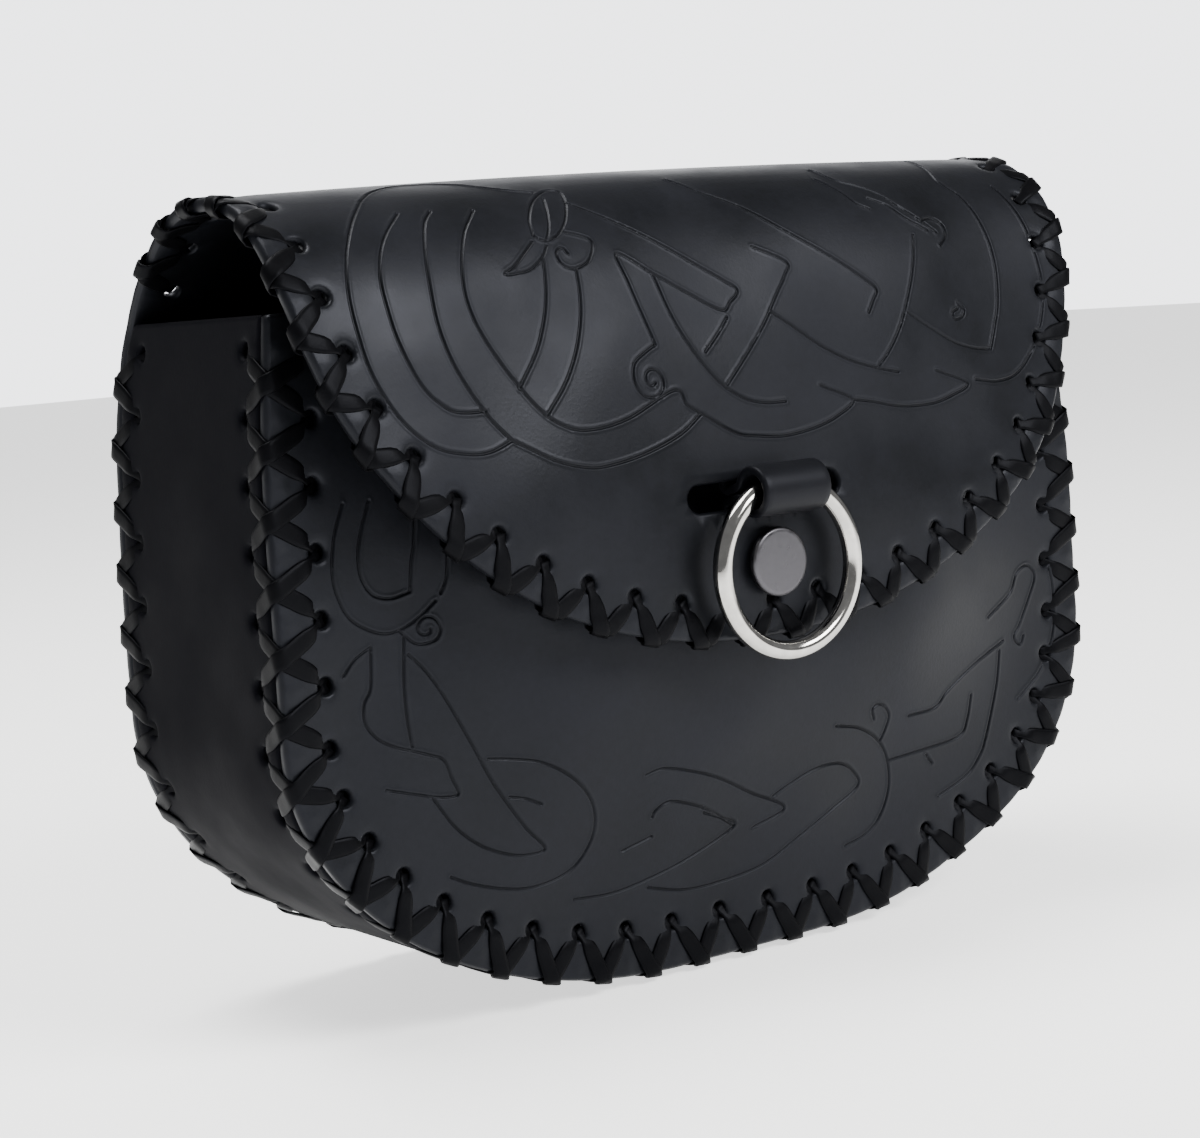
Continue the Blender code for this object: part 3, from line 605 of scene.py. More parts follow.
FLAP_LINES = {
    "left_loop_outer": (
        (-65.4, 87.3), (-70.7, 80.7), (-74.6, 73.9), (-76.6, 67.0), (-76.6, 60.0), (-75.4, 53.0),
        (-71.9, 45.6), (-66.8, 40.7), (-60.9, 38.9), (-56.4, 38.8), (-51.8, 40.3),
    ),
    "left_loop_inner": (
        (-51.8, 40.3), (-55.5, 44.9), (-59.5, 52.7), (-61.2, 60.0), (-60.9, 67.0), (-59.4, 73.9),
        (-56.9, 79.6), (-54.3, 82.5),
    ),
    "left_loop_middle": (
        (-60.7, 82.6), (-66.4, 76.6), (-69.6, 70.0), (-70.0, 63.5), (-69.1, 57.3), (-66.6, 50.6),
        (-62.9, 46.8), (-59.7, 45.8), (-55.7, 45.7),
    ),
    "big_bow_upper": (
        (-46.0, 81.9), (-50.8, 76.2), (-54.1, 68.5), (-54.3, 62.0), (-51.5, 54.8), (-45.7, 45.7),
        (-41.0, 41.8), (-35.6, 40.6), (-27.2, 41.8), (-16.1, 45.8), (-14.1, 43.1), (-11.2, 41.2),
    ),
    "big_bow_lower": (
        (-11.2, 41.2), (-16.8, 37.9), (-25.6, 35.2), (-34.5, 34.0), (-39.6, 34.6), (-44.4, 36.2),
        (-48.5, 38.5), (-51.8, 40.3),
    ),
    "top_arch": (
        (-65.4, 87.3), (-61.3, 90.9), (-54.8, 94.0), (-48.6, 94.0), (-43.6, 92.2), (-39.4, 89.3),
        (-34.6, 87.0), (-31.0, 85.9),
    ),
    "neck_left": (
        (-36.6, 71.3), (-37.6, 67.4), (-39.0, 62.8), (-41.0, 58.4), (-43.6, 54.2), (-48.2, 48.8),
    ),
    "neck_right": (
        (-30.7, 68.4), (-31.5, 64.1), (-32.8, 59.6), (-35.4, 54.0), (-39.0, 48.8), (-43.6, 44.1),
    ),
    "head_oval": (
        (-36.9, 75.1), (-36.0, 78.7), (-32.8, 83.1), (-28.4, 86.1), (-25.3, 85.6), (-26.2, 81.8),
        (-28.9, 77.5), (-32.1, 74.8), (-35.0, 74.1), (-36.9, 75.1),
    ),
    "head_line": ((-30.0, 83.7), (-31.2, 80.3), (-32.8, 76.6), (-34.5, 74.1)),
    "leaf": (
        (-37.7, 74.0), (-40.7, 71.6), (-43.3, 69.6), (-45.8, 68.4), (-43.0, 68.4), (-40.0, 68.9),
        (-36.7, 71.0), (-35.0, 73.0),
    ),
    "ear_curl": (
        (-29.9, 75.5), (-27.3, 74.7), (-25.3, 73.6), (-25.7, 71.6), (-27.9, 69.3), (-31.2, 68.4),
        (-33.4, 69.5), (-33.6, 71.5), (-32.0, 72.5), (-31.2, 71.2),
    ),
    "first_band": (
        (-26.2, 82.6), (-21.2, 79.0), (-15.2, 74.9), (-9.8, 71.2), (-4.2, 67.3), (0.6, 64.2),
        (3.1, 62.2), (0.8, 60.3), (-1.8, 59.0), (-9.1, 63.0), (-15.0, 66.6),
    ),
    "first_strap_left": ((-15.0, 66.6), (-21.0, 70.6), (-20.7, 65.0), (-19.8, 60.0), (-18.3, 54.0)),
    "spiral": (
        (-18.3, 54.0),
        *curl(
            (-20.6, 48.0), 90, (5.0, 4.4, 3.9, 3.5, 3.1, 2.7, 2.3, 2.05, 1.85, 1.55, 1.3, 1.15, 1.0, 0.85)
        ),
    ),
    "first_strap_right": (
        (-14.9, 66.4), (-13.5, 59.6), (-11.2, 54.0), (-8.0, 49.0), (-4.9, 45.6), (-0.9, 43.0),
        (3.5, 41.8), (8.3, 41.6),
    ),
    "second_band": (
        (0.3, 88.0), (4.7, 83.3), (11.8, 78.3), (18.8, 72.4), (26.8, 66.9), (32.4, 62.9),
        (35.2, 60.4), (33.8, 58.3), (32.2, 56.2),
    ),
    "hook": (
        (9.6, 70.0), (15.9, 66.6), (14.6, 64.2), (11.3, 60.6), (7.6, 56.4), (2.9, 51.9),
        (-4.2, 45.7),
    ),
    "hook_inner": ((-0.9, 57.6), (-3.6, 55.1), (-7.5, 51.9)),
    "third_band": ((9.4, 57.9), (13.4, 55.2), (19.3, 51.1), (25.5, 47.9), (31.6, 45.9), (36.6, 44.7)),
    "second_end": (
        (17.3, 43.8), (24.3, 40.5), (19.8, 37.8), (13.8, 36.2), (6.6, 35.4), (-0.0, 36.0),
        (-4.5, 37.0), (-11.2, 41.2),
    ),
    "third_end": (
        (46.2, 44.2), (53.5, 41.1), (48.9, 39.1), (43.3, 38.0), (35.9, 38.2), (29.0, 39.7),
        (24.3, 40.5),
    ),
    "right_arc_in": ((48.9, 70.2), (45.9, 64.1), (42.6, 58.5), (39.0, 53.0), (35.2, 48.7), (31.8, 45.9)),
    "right_link": ((41.7, 55.6), (46.7, 52.4), (52.6, 49.1), (57.5, 47.6), (61.7, 47.1)),
    "right_arc_middle": (
        (66.9, 78.8), (68.3, 74.0), (68.8, 68.0), (68.3, 62.1), (66.5, 55.7), (64.1, 51.1),
        (61.7, 47.1),
    ),
    "right_arc_out": (
        (77.4, 81.0), (79.1, 75.6), (79.9, 70.4), (80.1, 64.5), (79.9, 58.3), (77.9, 52.5),
        (74.0, 46.9), (67.7, 42.1), (61.8, 40.8), (55.8, 41.6),
    ),
    "top_right": ((66.3, 95.0), (65.9, 92.4), (65.4, 88.0), (64.4, 83.0), (66.9, 78.8)),
    "beast_top": (
        (36.0, 89.4), (38.5, 84.6), (43.0, 82.2), (46.7, 79.3), (49.1, 76.6), (52.4, 73.4),
        (55.4, 70.5),
    ),
    "beast_low": ((33.8, 85.3), (37.1, 80.8), (38.8, 77.9), (41.4, 76.3)),
    "beast_jaw": ((42.5, 79.1), (46.3, 77.0), (49.0, 74.0), (53.3, 71.0)),
    "beast_ear": ((52.3, 73.1), (55.6, 73.6), (57.8, 72.1), (57.6, 69.7), (55.1, 67.8)),
    "small_spiral": ((55.6, 56.4), (56.9, 55.1), (55.9, 53.8), (53.9, 53.5), (53.6, 54.8), (55.2, 55.4)),
}
print("the flap carries", len(FLAP_LINES), "tooled lines")

# %% Knotwork on the front: (across, height), in millimetres
FRONT_LINES = {
    "loop_outer": (
        (-78.0, 94.0), (-80.2, 88.8), (-81.3, 83.4), (-80.9, 79.4), (-79.1, 75.3), (-76.1, 72.9),
        (-72.6, 71.5), (-69.5, 71.9), (-66.2, 73.5), (-63.0, 76.0),
    ),
    "loop_inner": (
        (-73.2, 94.0), (-75.4, 88.5), (-76.2, 84.7), (-75.9, 81.2), (-74.1, 78.3), (-71.0, 77.3),
        (-67.4, 78.0),
    ),
    "loop_right": ((-65.4, 90.0), (-66.0, 86.0), (-66.7, 83.1), (-67.4, 78.0)),
    "loop_tail": ((-60.3, 84.0), (-60.8, 79.9), (-62.1, 77.1)),
    "curl": curl((-65.1, 71.4), 180, (4.5, 3.1, 2.5, 2.6, 2.55, 2.3, 2.0, 1.7, 1.45, 1.2, 1.05, 0.95, 0.8)),
    "foot_strap": (
        (-75.4, 69.4), (-76.0, 63.0), (-77.5, 60.3), (-77.6, 57.3), (-75.7, 54.3), (-72.6, 52.3),
        (-69.5, 51.1), (-65.8, 49.7), (-63.5, 48.5), (-62.3, 45.4), (-61.2, 42.2), (-64.6, 42.2),
        (-68.9, 43.4), (-74.8, 45.2),
    ),
    "foot_back": ((-81.1, 65.5), (-78.7, 67.9), (-75.4, 69.6)),
    "leg_line": ((-69.2, 70.5), (-69.8, 63.1), (-69.8, 57.2), (-69.3, 51.8)),
    "long_leg": (
        (-68.6, 67.5), (-66.0, 64.6), (-63.2, 60.2), (-60.4, 54.8), (-57.9, 49.8), (-54.8, 43.6),
        (-51.5, 38.4), (-48.0, 33.6), (-44.3, 29.4), (-48.5, 29.0), (-53.1, 30.3), (-57.7, 32.7),
        (-62.1, 36.6), (-65.9, 42.1),
    ),
    "body_loop": (
        (-55.3, 47.4), (-50.5, 46.6), (-45.5, 45.3), (-40.8, 42.7), (-37.0, 39.3), (-34.6, 35.4),
        (-34.0, 31.5), (-35.2, 27.9), (-38.2, 24.7), (-42.5, 23.2), (-48.0, 22.9), (-53.9, 24.1),
        (-59.7, 26.1), (-63.7, 28.1),
    ),
    "body_hook": ((-51.5, 40.0), (-48.1, 39.1), (-45.3, 37.7)),
    "low_tail": (
        (-38.2, 18.7), (-29.4, 18.2), (-20.4, 19.5), (-11.9, 21.6), (-2.4, 25.6), (-5.9, 27.9),
        (-9.9, 29.6),
    ),
    "tail_bow": ((-27.7, 25.6), (-21.4, 27.2)),
    "tail_top": ((-21.6, 30.9), (-20.8, 32.2), (-17.9, 33.2), (-13.2, 31.9), (-8.4, 29.7), (-2.4, 25.6)),
    "middle_bow": (
        (-23.6, 39.2), (-19.9, 39.8), (-14.5, 38.5), (-7.3, 35.9), (1.1, 31.4), (9.6, 26.9),
        (2.0, 24.3),
    ),
    "middle_loop": (
        (6.5, 29.5), (10.9, 31.3), (17.4, 33.1), (23.4, 33.0), (27.1, 30.8), (28.7, 27.5),
        (21.6, 24.0), (13.3, 20.4), (5.0, 16.9), (-3.9, 15.5), (-13.4, 15.5), (-21.9, 17.6),
    ),
    "right_loop": (
        (21.8, 40.6), (27.9, 39.2), (33.1, 36.1), (36.4, 31.6), (37.3, 26.0), (35.3, 21.0),
        (31.4, 17.7), (25.2, 16.2),
    ),
    "right_spiral": ((31.8, 40.2), (31.2, 42.4), (33.6, 42.9), (35.8, 40.4), (35.2, 37.6), (34.1, 35.6)),
    "right_strap": ((37.3, 31.1), (46.3, 31.5), (56.3, 32.5), (58.7, 35.8), (59.7, 40.4)),
    "right_notch": ((47.4, 30.3), (49.0, 28.3)),
    "right_upper": ((41.5, 39.2), (49.0, 39.6), (52.5, 42.4), (60.0, 46.2), (70.0, 49.7)),
    "right_fall": ((68.7, 47.9), (67.6, 41.8), (65.4, 35.3), (63.7, 30.8)),
    "right_low": ((63.7, 30.8), (62.2, 28.0), (58.2, 24.2), (50.5, 21.4)),
    "edge_curve": ((84.5, 65.6), (86.0, 59.1), (86.0, 52.2), (83.9, 46.3), (79.6, 41.3), (73.4, 37.3)),
    "small_beast": (
        (65.2, 55.2), (72.7, 58.9), (75.2, 62.7), (78.7, 63.9), (80.8, 61.4), (78.9, 57.4),
        (75.5, 52.3), (73.5, 49.9), (75.4, 48.2), (76.5, 49.8),
    ),
}
print("the front carries", len(FRONT_LINES), "tooled lines")

# %% [markdown]
# ## From lines to grooves
# Close to a line the mesh gets its bottom row and five rows of points on each side, so that a groove a
# third of a millimetre deep has a real bottom, slopes and a slightly raised lip, as cut damp leather
# has. Small rings of points round off its ends. Round each hole rings of points let the leather dip
# where the lace pulls it in, and between two holes the squeezed edge swells a little.

# %% Grooves and puckers
# All in millimetres. GROOVE_ROWS are distances from a line's middle to both sides.
GROOVE_DEPTH = 0.32
GROOVE_HALF = 0.29
GROOVE_ROWS = (0.15, 0.29, 0.48, 0.75, 1.1)
GROOVE_STEP = 0.4
GROOVE_END = 12
LIP_HEIGHT = 0.08
LIP_MIDDLE = 0.46
LIP_REACH = 0.17
PUCKER_DEPTH = 0.85
PUCKER_REACH = 3.4
PUCKER_ROWS = (0.5, 1.1, 1.9)
SWELL_HEIGHT = 0.32
SWELL_REACH = 1.9
SWELL_INSET = 2.3
SWELL_ROWS = (0.7, 1.5)
HOLE_CORNERS = 14


def stroke_path(knots):
    """The middle of a tooled line."""
    return Path(smooth_curve(knots, 10))


def groove_marks(strokes):
    """(points to mesh, points of the lines' middles) for tooled lines on a pattern."""
    middles = []
    ends = []
    rows = {offset: [] for offset in [0.0] + [way * row for row in GROOVE_ROWS for way in (1, -1)]}
    for path in strokes:
        middles.append(path.at(path.spread(0.1)))
        steps = path.spread(GROOVE_STEP)
        points = path.at(steps)
        along = path.along(steps, GROOVE_STEP)
        side = np.stack([-along[:, 1], along[:, 0]], axis=-1)
        for offset, found in rows.items():
            found.append(points + side * offset)
        for end in (points[0], points[-1]):
            ends += [ring_points(end, radius, GROOVE_END) for radius in GROOVE_ROWS]
    return np.vstack([np.vstack(found) for found in rows.values()] + ends), np.vstack(middles)


def ring_points(centre, radius, count):
    """Points on a circle, anticlockwise."""
    turn = np.linspace(0.0, 2 * math.pi, count, endpoint=False)
    return np.array(centre) + radius * np.stack([np.cos(turn), np.sin(turn)], axis=-1)


def punched(points):
    """The round holes, as closed loops."""
    return [ring_points(p, HOLE_RADIUS, HOLE_CORNERS) for p in points]


def pucker_marks(points):
    """Rings of points round the holes, where the leather dips."""
    reaches = [HOLE_RADIUS + RIM + row for row in PUCKER_ROWS]
    return np.vstack([ring_points(p, reach, HOLE_CORNERS) for p in points for reach in reaches])


def swell_marks(points):
    """Points that carry the soft swelling of the leather between two crossings."""
    rings = [ring_points(p, radius, 8) for p in points for radius in SWELL_ROWS]
    return np.vstack([np.vstack(rings), np.array(points)])


def groove_share(far):
    """How deep a groove is at a distance from its middle, from 1 to 0."""
    return 1.0 - np.clip(far / GROOVE_HALF, 0.0, 1.0) ** 1.5


def relief_of(groove_tree, hole_tree, swell_tree):
    """A function that gives the outer face's height over its smooth shape."""

    def relief(points):
        far = distances_to(points, groove_tree)
        rise = LIP_HEIGHT * np.exp(-(((far - LIP_MIDDLE) / LIP_REACH) ** 2))
        rise += SWELL_HEIGHT * np.exp(-((distances_to(points, swell_tree) / SWELL_REACH) ** 2))
        reach = np.clip(distances_to(points, hole_tree) / PUCKER_REACH, 0.0, 1.0)
        dip = PUCKER_DEPTH * (1.0 - reach) ** 2
        return rise - GROOVE_DEPTH * groove_share(far) - dip

    return relief


def mark_grooves(mesh, outer_points, groove_tree):
    """Stores at each point how deep it lies in a groove, which the material reads to paint shade there."""
    whole = np.zeros(len(mesh.vertices), np.float32)
    whole[: len(outer_points)] = groove_share(distances_to(outer_points, groove_tree))
    mesh.attributes.new("groove", "FLOAT", "POINT").data.foreach_set("value", whole)


flap_strokes = [
    stroke_path([(x, PROFILE.length - up) for x, up in knots]) for knots in FLAP_LINES.values()
]
front_strokes = [stroke_path(knots) for knots in FRONT_LINES.values()]
total = sum(p.length for p in flap_strokes + front_strokes)
print("tooled lines together:", round(total), "mm")

# %% [markdown]
# ## The three panels
# Back, roll and flap are one piece of leather, so there is no seam over the top. The front is a flat
# panel that swells a little where the pouch is full. The gusset is a long strip, bent round the
# pouch's sides and foot. Only the bending differs between them, so each gets a small function that
# bends its pattern, and the same builder makes the mesh. The roll also arches up a little between its
# two ends, because the laced edges hold it down there.

# %% Bend the patterns
ROLL_CROWN = 1.7
CROWN_MIDDLE = 15.0
CROWN_REACH = 108.0


def ease(share):
    """A soft step from 0 to 1."""
    share = np.clip(share, 0.0, 1.0)
    return share * share * (3 - 2 * share)


def crown_at(across, height):
    """How far the roll's top arches up between its two stiff laced ends."""
    share = (height - ROLL_FOOT_HEIGHT) / (ROLL_HEIGHT - ROLL_FOOT_HEIGHT)
    arch = np.clip(1.0 - ((across - CROWN_MIDDLE) / CROWN_REACH) ** 2, 0.0, 1.0)
    return ROLL_CROWN * arch * ease(share) ** 2


def place_on_profile(points, depth):
    """The back-and-flap's pattern (across, distance) bent round the roll."""
    at = PROFILE.at(points[:, 1])
    along = PROFILE.along(points[:, 1])
    depth = np.asarray(depth, float)
    y = at[:, 0] + along[:, 1] * depth
    z = at[:, 1] - along[:, 0] * depth + crown_at(points[:, 0], at[:, 1])
    return np.stack([points[:, 0], y, z], axis=-1)


def belly_at(across, height):
    """How far the front panel swells forward, nothing near its laced edges."""
    foot = foot_rows()
    low = np.interp(height, foot[:, 1], foot[:, 0])
    half = np.where(height >= SIDE_FOOT_HEIGHT, half_width_at(height), low)
    share = np.maximum(np.abs(across) - FLAT_FOOT_HALF, 0.0) / (HALF_WIDTH - FLAT_FOOT_HALF)
    down = np.maximum(1 - share**FOOT_ROUNDNESS, 0.0) ** (1 / FOOT_ROUNDNESS)
    under = SIDE_FOOT_HEIGHT - (SIDE_FOOT_HEIGHT - FOOT_HEIGHT) * down
    swell = FRONT_BELLY * ease((half - np.abs(across) - LACED_MARGIN) / BELLY_REACH)
    swell = swell * ease((height - under - LACED_MARGIN) / BELLY_REACH)
    return swell * ease((MOUTH_HEIGHT - height) / BELLY_REACH)


def place_front(points, depth):
    """The front's pattern (across, height) stood up, with its belly."""
    belly = belly_at(points[:, 0], points[:, 1])
    return np.stack([points[:, 0], -belly - depth, points[:, 1]], axis=-1)


def place_gusset(points, depth):
    """The gusset's pattern (distance round the body, depth) bent round the outline."""
    at = OUTLINE.at(points[:, 0])
    out = seam_outward(OUTLINE, points[:, 0])
    x = at[:, 0] + out[:, 0] * depth
    z = at[:, 1] + out[:, 1] * depth
    return np.stack([x, points[:, 1], z], axis=-1)


def resampled(loop, spacing=1.3):
    """A closed loop with points a small step apart."""
    path = Path(np.vstack([loop, loop[:1]]))
    return path.at(path.spread(spacing)[:-1])


print("belly in the middle of the front:", round(float(belly_at(np.array([0.0]), np.array([60.0]))[0]), 2))

# %% The back, the roll and the flap
def stadium(centre, length, width, steps=8):
    """A slot with round ends, anticlockwise."""
    radius = width / 2
    reach = length / 2 - radius
    points = []
    for side in (1, -1):
        start = -math.pi / 2 if side > 0 else math.pi / 2
        for i in range(steps + 1):
            turn = start + math.pi * i / steps
            points.append((side * reach + radius * math.cos(turn), radius * math.sin(turn)))
    return resampled(np.array(points) + centre, 1.0)


belt_top = BELT_SLOT_FOOT + BELT_SLOT_HEIGHT
rivet_clear = (BELT_LOOP_SEAM + BELT_SLOT_DEPTH / 2) / 2
rivet_spots = [
    (side * BELT_RIVET_SPACING / 2, height)
    for height in (BELT_SLOT_FOOT - rivet_clear, belt_top + rivet_clear)
    for side in (-1, 1)
]
slot_loop = stadium((0.0, flap_distance(SLOT_HEIGHT)), SLOT_LENGTH, SLOT_WIDTH)
post_holes = [ring_points((0.0, flap_distance(SNAP_HEIGHT)), SNAP_POST_RADIUS + GAP, 16)]
post_holes += [
    ring_points((x, height - FOOT_HEIGHT), RIVET_POST_RADIUS + GAP, 12) for x, height in rivet_spots
]
edge_holes = np.vstack([flap_hole_points, back_hole_points])
flap_swells = np.vstack(
    [
        FLAP_EDGE.at(FLAP_HOLES) - flap_outward(FLAP_HOLES) * SWELL_INSET,
        BACK_EDGE.at(BACK_HOLES) - seam_outward(BACK_EDGE, BACK_HOLES) * SWELL_INSET,
    ]
)
front_swells = OUTLINE.at(FRONT_HOLES) - seam_outward(OUTLINE, FRONT_HOLES) * SWELL_INSET
fine_points, middles = groove_marks(flap_strokes)
flap_grooves = tree_of(middles)
flap_mesh, flap_verts = sheet_mesh(
    "leather_back_and_flap",
    resampled(mirrored(ROWS)),
    punched(edge_holes) + [slot_loop] + post_holes,
    place_on_profile,
    relief_of(flap_grooves, tree_of(edge_holes), tree_of(flap_swells)),
    np.vstack([fine_points, pucker_marks(edge_holes), swell_marks(flap_swells)]),
    turned_over=True,
)
mark_grooves(flap_mesh, flap_verts, flap_grooves)
print("back and flap:", len(flap_mesh.vertices), "points,", len(flap_mesh.polygons), "faces")

# %% The front
fine_points, middles = groove_marks(front_strokes)
front_grooves = tree_of(middles)
front_rows = body_rows(MOUTH_HEIGHT)
front_outline = resampled(np.vstack([front_rows, front_rows[::-1] * (-1, 1)]))
front_mesh, front_verts = sheet_mesh(
    "leather_front",
    front_outline,
    punched(front_hole_points),
    place_front,
    relief_of(front_grooves, tree_of(front_hole_points), tree_of(front_swells)),
    np.vstack([fine_points, pucker_marks(front_hole_points), swell_marks(front_swells)]),
)
mark_grooves(front_mesh, front_verts, front_grooves)
print("front:", len(front_mesh.vertices), "points,", len(front_mesh.polygons), "faces")

# %% The gusset
def inside_depth(height):
    """How deep the pouch's inside reaches at a height, a gap short of the back."""
    distance = np.array([back_distance(h) for h in np.atleast_1d(height)])
    steepness = PROFILE.along(distance)[:, 1]
    return PROFILE.at(distance)[:, 0] - (LEATHER + GAP) / steepness


BACK_CORNERS = place_on_profile(BACK_EDGE.at(BACK_HOLES), np.zeros(len(BACK_HOLES)))
finely = OUTLINE.spread(0.25)
finely_at = OUTLINE.at(finely)
back_row = []
for x, y, z in BACK_CORNERS:
    nearest = np.argmin((finely_at[:, 0] - x) ** 2 + (finely_at[:, 1] - z) ** 2)
    back_row.append((finely[nearest], y - GUSSET_HOLE_INSET))
gusset_holes = [(d, GUSSET_HOLE_INSET) for d in FRONT_HOLES] + back_row
gusset_swells = [(d, LEATHER + SWELL_INSET) for d in FRONT_HOLES]
gusset_swells += [(d, y + GUSSET_HOLE_INSET - LEATHER - SWELL_INSET) for d, y in back_row]
around = OUTLINE.spread(1.3)
behind = inside_depth(OUTLINE.at(around)[:, 1])
near_edge = np.stack([around, np.full(len(around), LEATHER + GAP)], axis=-1)
far_edge = np.stack([around, behind], axis=-1)
no_grooves = tree_of(np.array([(-50.0, -50.0)]))
gusset_mesh, _ = sheet_mesh(
    "leather_gusset",
    resampled(np.vstack([near_edge, far_edge[::-1]])),
    punched(gusset_holes),
    place_gusset,
    relief_of(no_grooves, tree_of(np.array(gusset_holes)), tree_of(np.array(gusset_swells))),
    np.vstack([pucker_marks(gusset_holes), swell_marks(gusset_swells)]),
    turned_over=True,
)
print("gusset:", len(gusset_mesh.vertices), "points,", len(gusset_mesh.polygons), "faces")

# %% [markdown]
# ## Flat lace that crosses over the edges
# The seams are sewn with one long, flat lace. It comes out of a hole, slants across the edge and goes
# into the next hole on the other side, and on its way back it crosses itself on the edge. So the same
# pair of crossing bands repeats at every hole. The pair is modelled once on a straight edge, and
# Geometry Nodes set one at each hole and bend them all along the seam. The alternative, to bend a pair
# by hand at each of about a hundred holes, would be slow to change.

# %% One crossing pair on a straight edge
LACE_WIDTH = 3.3
LACE_NECK = 2.2
LACE_THICKNESS = 0.56
LACE_STEPS = 22
LACE_ROUND = 10
FLAT_POWER = 0.55
HIGH_POWER = 0.75
# The lace's middle lies this far off the leather, pressed in a little, and this far from a hole's middle.
REST = LACE_THICKNESS / 2 - 0.12
HOLE_WALL = HOLE_RADIUS - LACE_THICKNESS * 0.6
# How far a band keeps from the line through its hole, so that the two bands of a hole pass each other.
BESIDE_HOLE = 0.3
# One band rides over the other. Lifts in millimetres and reaches as shares of the band's length.
CROSSING_LIFT = 0.9 * LACE_THICKNESS
CROSSING_REACH = 0.17
END_LIFT = 0.2
END_REACH = 0.16
NECK_REACH = 0.07
WIDENING_REACH = 0.2


def corner_route(front_inset, far_inset):
    """The lace's middle over a square corner, as a Path of (outwards, proud)."""
    near = HOLE_WALL - front_inset
    far = HOLE_WALL - far_inset
    points = [(near - 1.7, -1.45), (near - 0.7, -1.2), (near, -0.7), (near + 0.55, REST - 0.4)]
    points += [(near + 1.7, REST - 0.06)]
    points += [(-2.6, REST), (-0.5, REST)]
    for i in range(1, 6):
        turn = math.pi / 2 * (1 - i / 6)
        points.append((-0.5 + (0.5 + REST) * math.cos(turn), -0.5 + (0.5 + REST) * math.sin(turn)))
    points += [(REST, -0.5), (REST, -2.6), (REST - 0.06, far + 1.7)]
    points += [(REST - 0.4, far + 0.55), (-0.7, far), (-1.2, far - 0.7), (-1.45, far - 1.7)]
    return Path(smooth_curve(points, 6))


def edge_route(inset):
    """The same round a free edge, from the outer face to the inner one."""
    far = -LEATHER
    near = HOLE_WALL - inset
    points = [(near - 1.5, -0.95), (near - 0.6, -0.85), (near, -0.5), (near + 0.55, REST - 0.4)]
    points += [(near + 1.7, REST - 0.06), (-2.4, REST)]
    for i in range(13):
        turn = math.pi / 2 - math.pi * i / 12
        reach = LEATHER / 2 + REST
        points.append((-0.55 + reach * math.cos(turn), far / 2 + reach * math.sin(turn)))
    points += [(-2.4, far - REST), (near + 1.7, far - REST), (near + 0.55, far - REST + 0.1)]
    points += [(near, far + 0.6), (near - 0.6, far + 0.85), (near - 1.5, far + 0.95)]
    return Path(smooth_curve(points, 6))


def band_points(route, pitch, forward, lifted):
    """Cross-sections of one band, which forward runs from the near hole to the next far hole."""
    shares = np.linspace(0.0, 1.0, LACE_STEPS + 1)
    at = route.at(shares * route.length)
    slope = route.along(shares * route.length, 0.5)
    travel = BESIDE_HOLE + (pitch - 2 * BESIDE_HOLE) * shares
    if not forward:
        travel = pitch - travel
    from_end = np.minimum(shares, 1 - shares)
    middle = np.exp(-(((shares - 0.5) / CROSSING_REACH) ** 2))
    ends = np.exp(-((from_end / END_REACH) ** 2))
    lift = CROSSING_LIFT * middle + END_LIFT * ends if lifted else np.zeros(len(shares))
    width = LACE_NECK + (LACE_WIDTH - LACE_NECK) * ease((from_end - NECK_REACH) / WIDENING_REACH)
    normal = np.stack([-slope[:, 1], slope[:, 0]], axis=-1)
    line = np.stack([travel, at[:, 0] + normal[:, 0] * lift, at[:, 1] + normal[:, 1] * lift], axis=-1)
    facing = np.stack([np.zeros(len(at)), normal[:, 0], normal[:, 1]], axis=-1)
    heading = np.gradient(line, axis=0)
    heading /= np.linalg.norm(heading, axis=1, keepdims=True)
    across = np.cross(facing, heading)
    across /= np.linalg.norm(across, axis=1, keepdims=True)
    sections = []
    for k in range(len(line)):
        for i in range(LACE_ROUND):
            turn = 2 * math.pi * i / LACE_ROUND
            c, s = math.cos(turn), math.sin(turn)
            flat = math.copysign(abs(c) ** FLAT_POWER, c) * width[k] / 2
            high = math.copysign(abs(s) ** HIGH_POWER, s) * LACE_THICKNESS / 2
            sections.append(line[k] + across[k] * flat + facing[k] * high)
    return np.array(sections)


def tube_faces(sections, around, start=0):
    """Quads round a row of sections, with both ends closed."""
    faces = []
    for k in range(sections - 1):
        for i in range(around):
            j = (i + 1) % around
            a = start + k * around
            b = a + around
            faces.append((a + i, a + j, b + j, b + i))
    faces.append(tuple(start + i for i in reversed(range(around))))
    last = start + (sections - 1) * around
    faces.append(tuple(last + i for i in range(around)))
    return faces


def plain_mesh(name, points, faces):
    """A mesh with smooth faces that all point outwards."""
    mesh = bpy.data.meshes.new(name)
    mesh.from_pydata(np.asarray(points, float).tolist(), [], faces)
    work = bmesh.new()
    work.from_mesh(mesh)
    bmesh.ops.recalc_face_normals(work, faces=work.faces)
    work.to_mesh(mesh)
    work.free()
    mesh.shade_smooth()
    return mesh


def shown(name, mesh):
    """An object for a mesh, linked to the scene."""
    piece = bpy.data.objects.new(name, mesh)
    bpy.context.scene.collection.objects.link(piece)
    return piece


def crossing_pair(name, route, pitch):
    """The two bands between one hole and the next."""
    over = band_points(route, pitch, True, True)
    under = band_points(route, pitch, False, False)
    faces = tube_faces(LACE_STEPS + 1, LACE_ROUND)
    faces += tube_faces(LACE_STEPS + 1, LACE_ROUND, len(over))
    return shown(name, plain_mesh(name, np.vstack([over, under]), faces))


sample = corner_route(HOLE_INSET, GUSSET_HOLE_INSET)
print("lace over a corner:", round(sample.length, 1), "mm from hole to hole,", LACE_WIDTH, "mm wide")

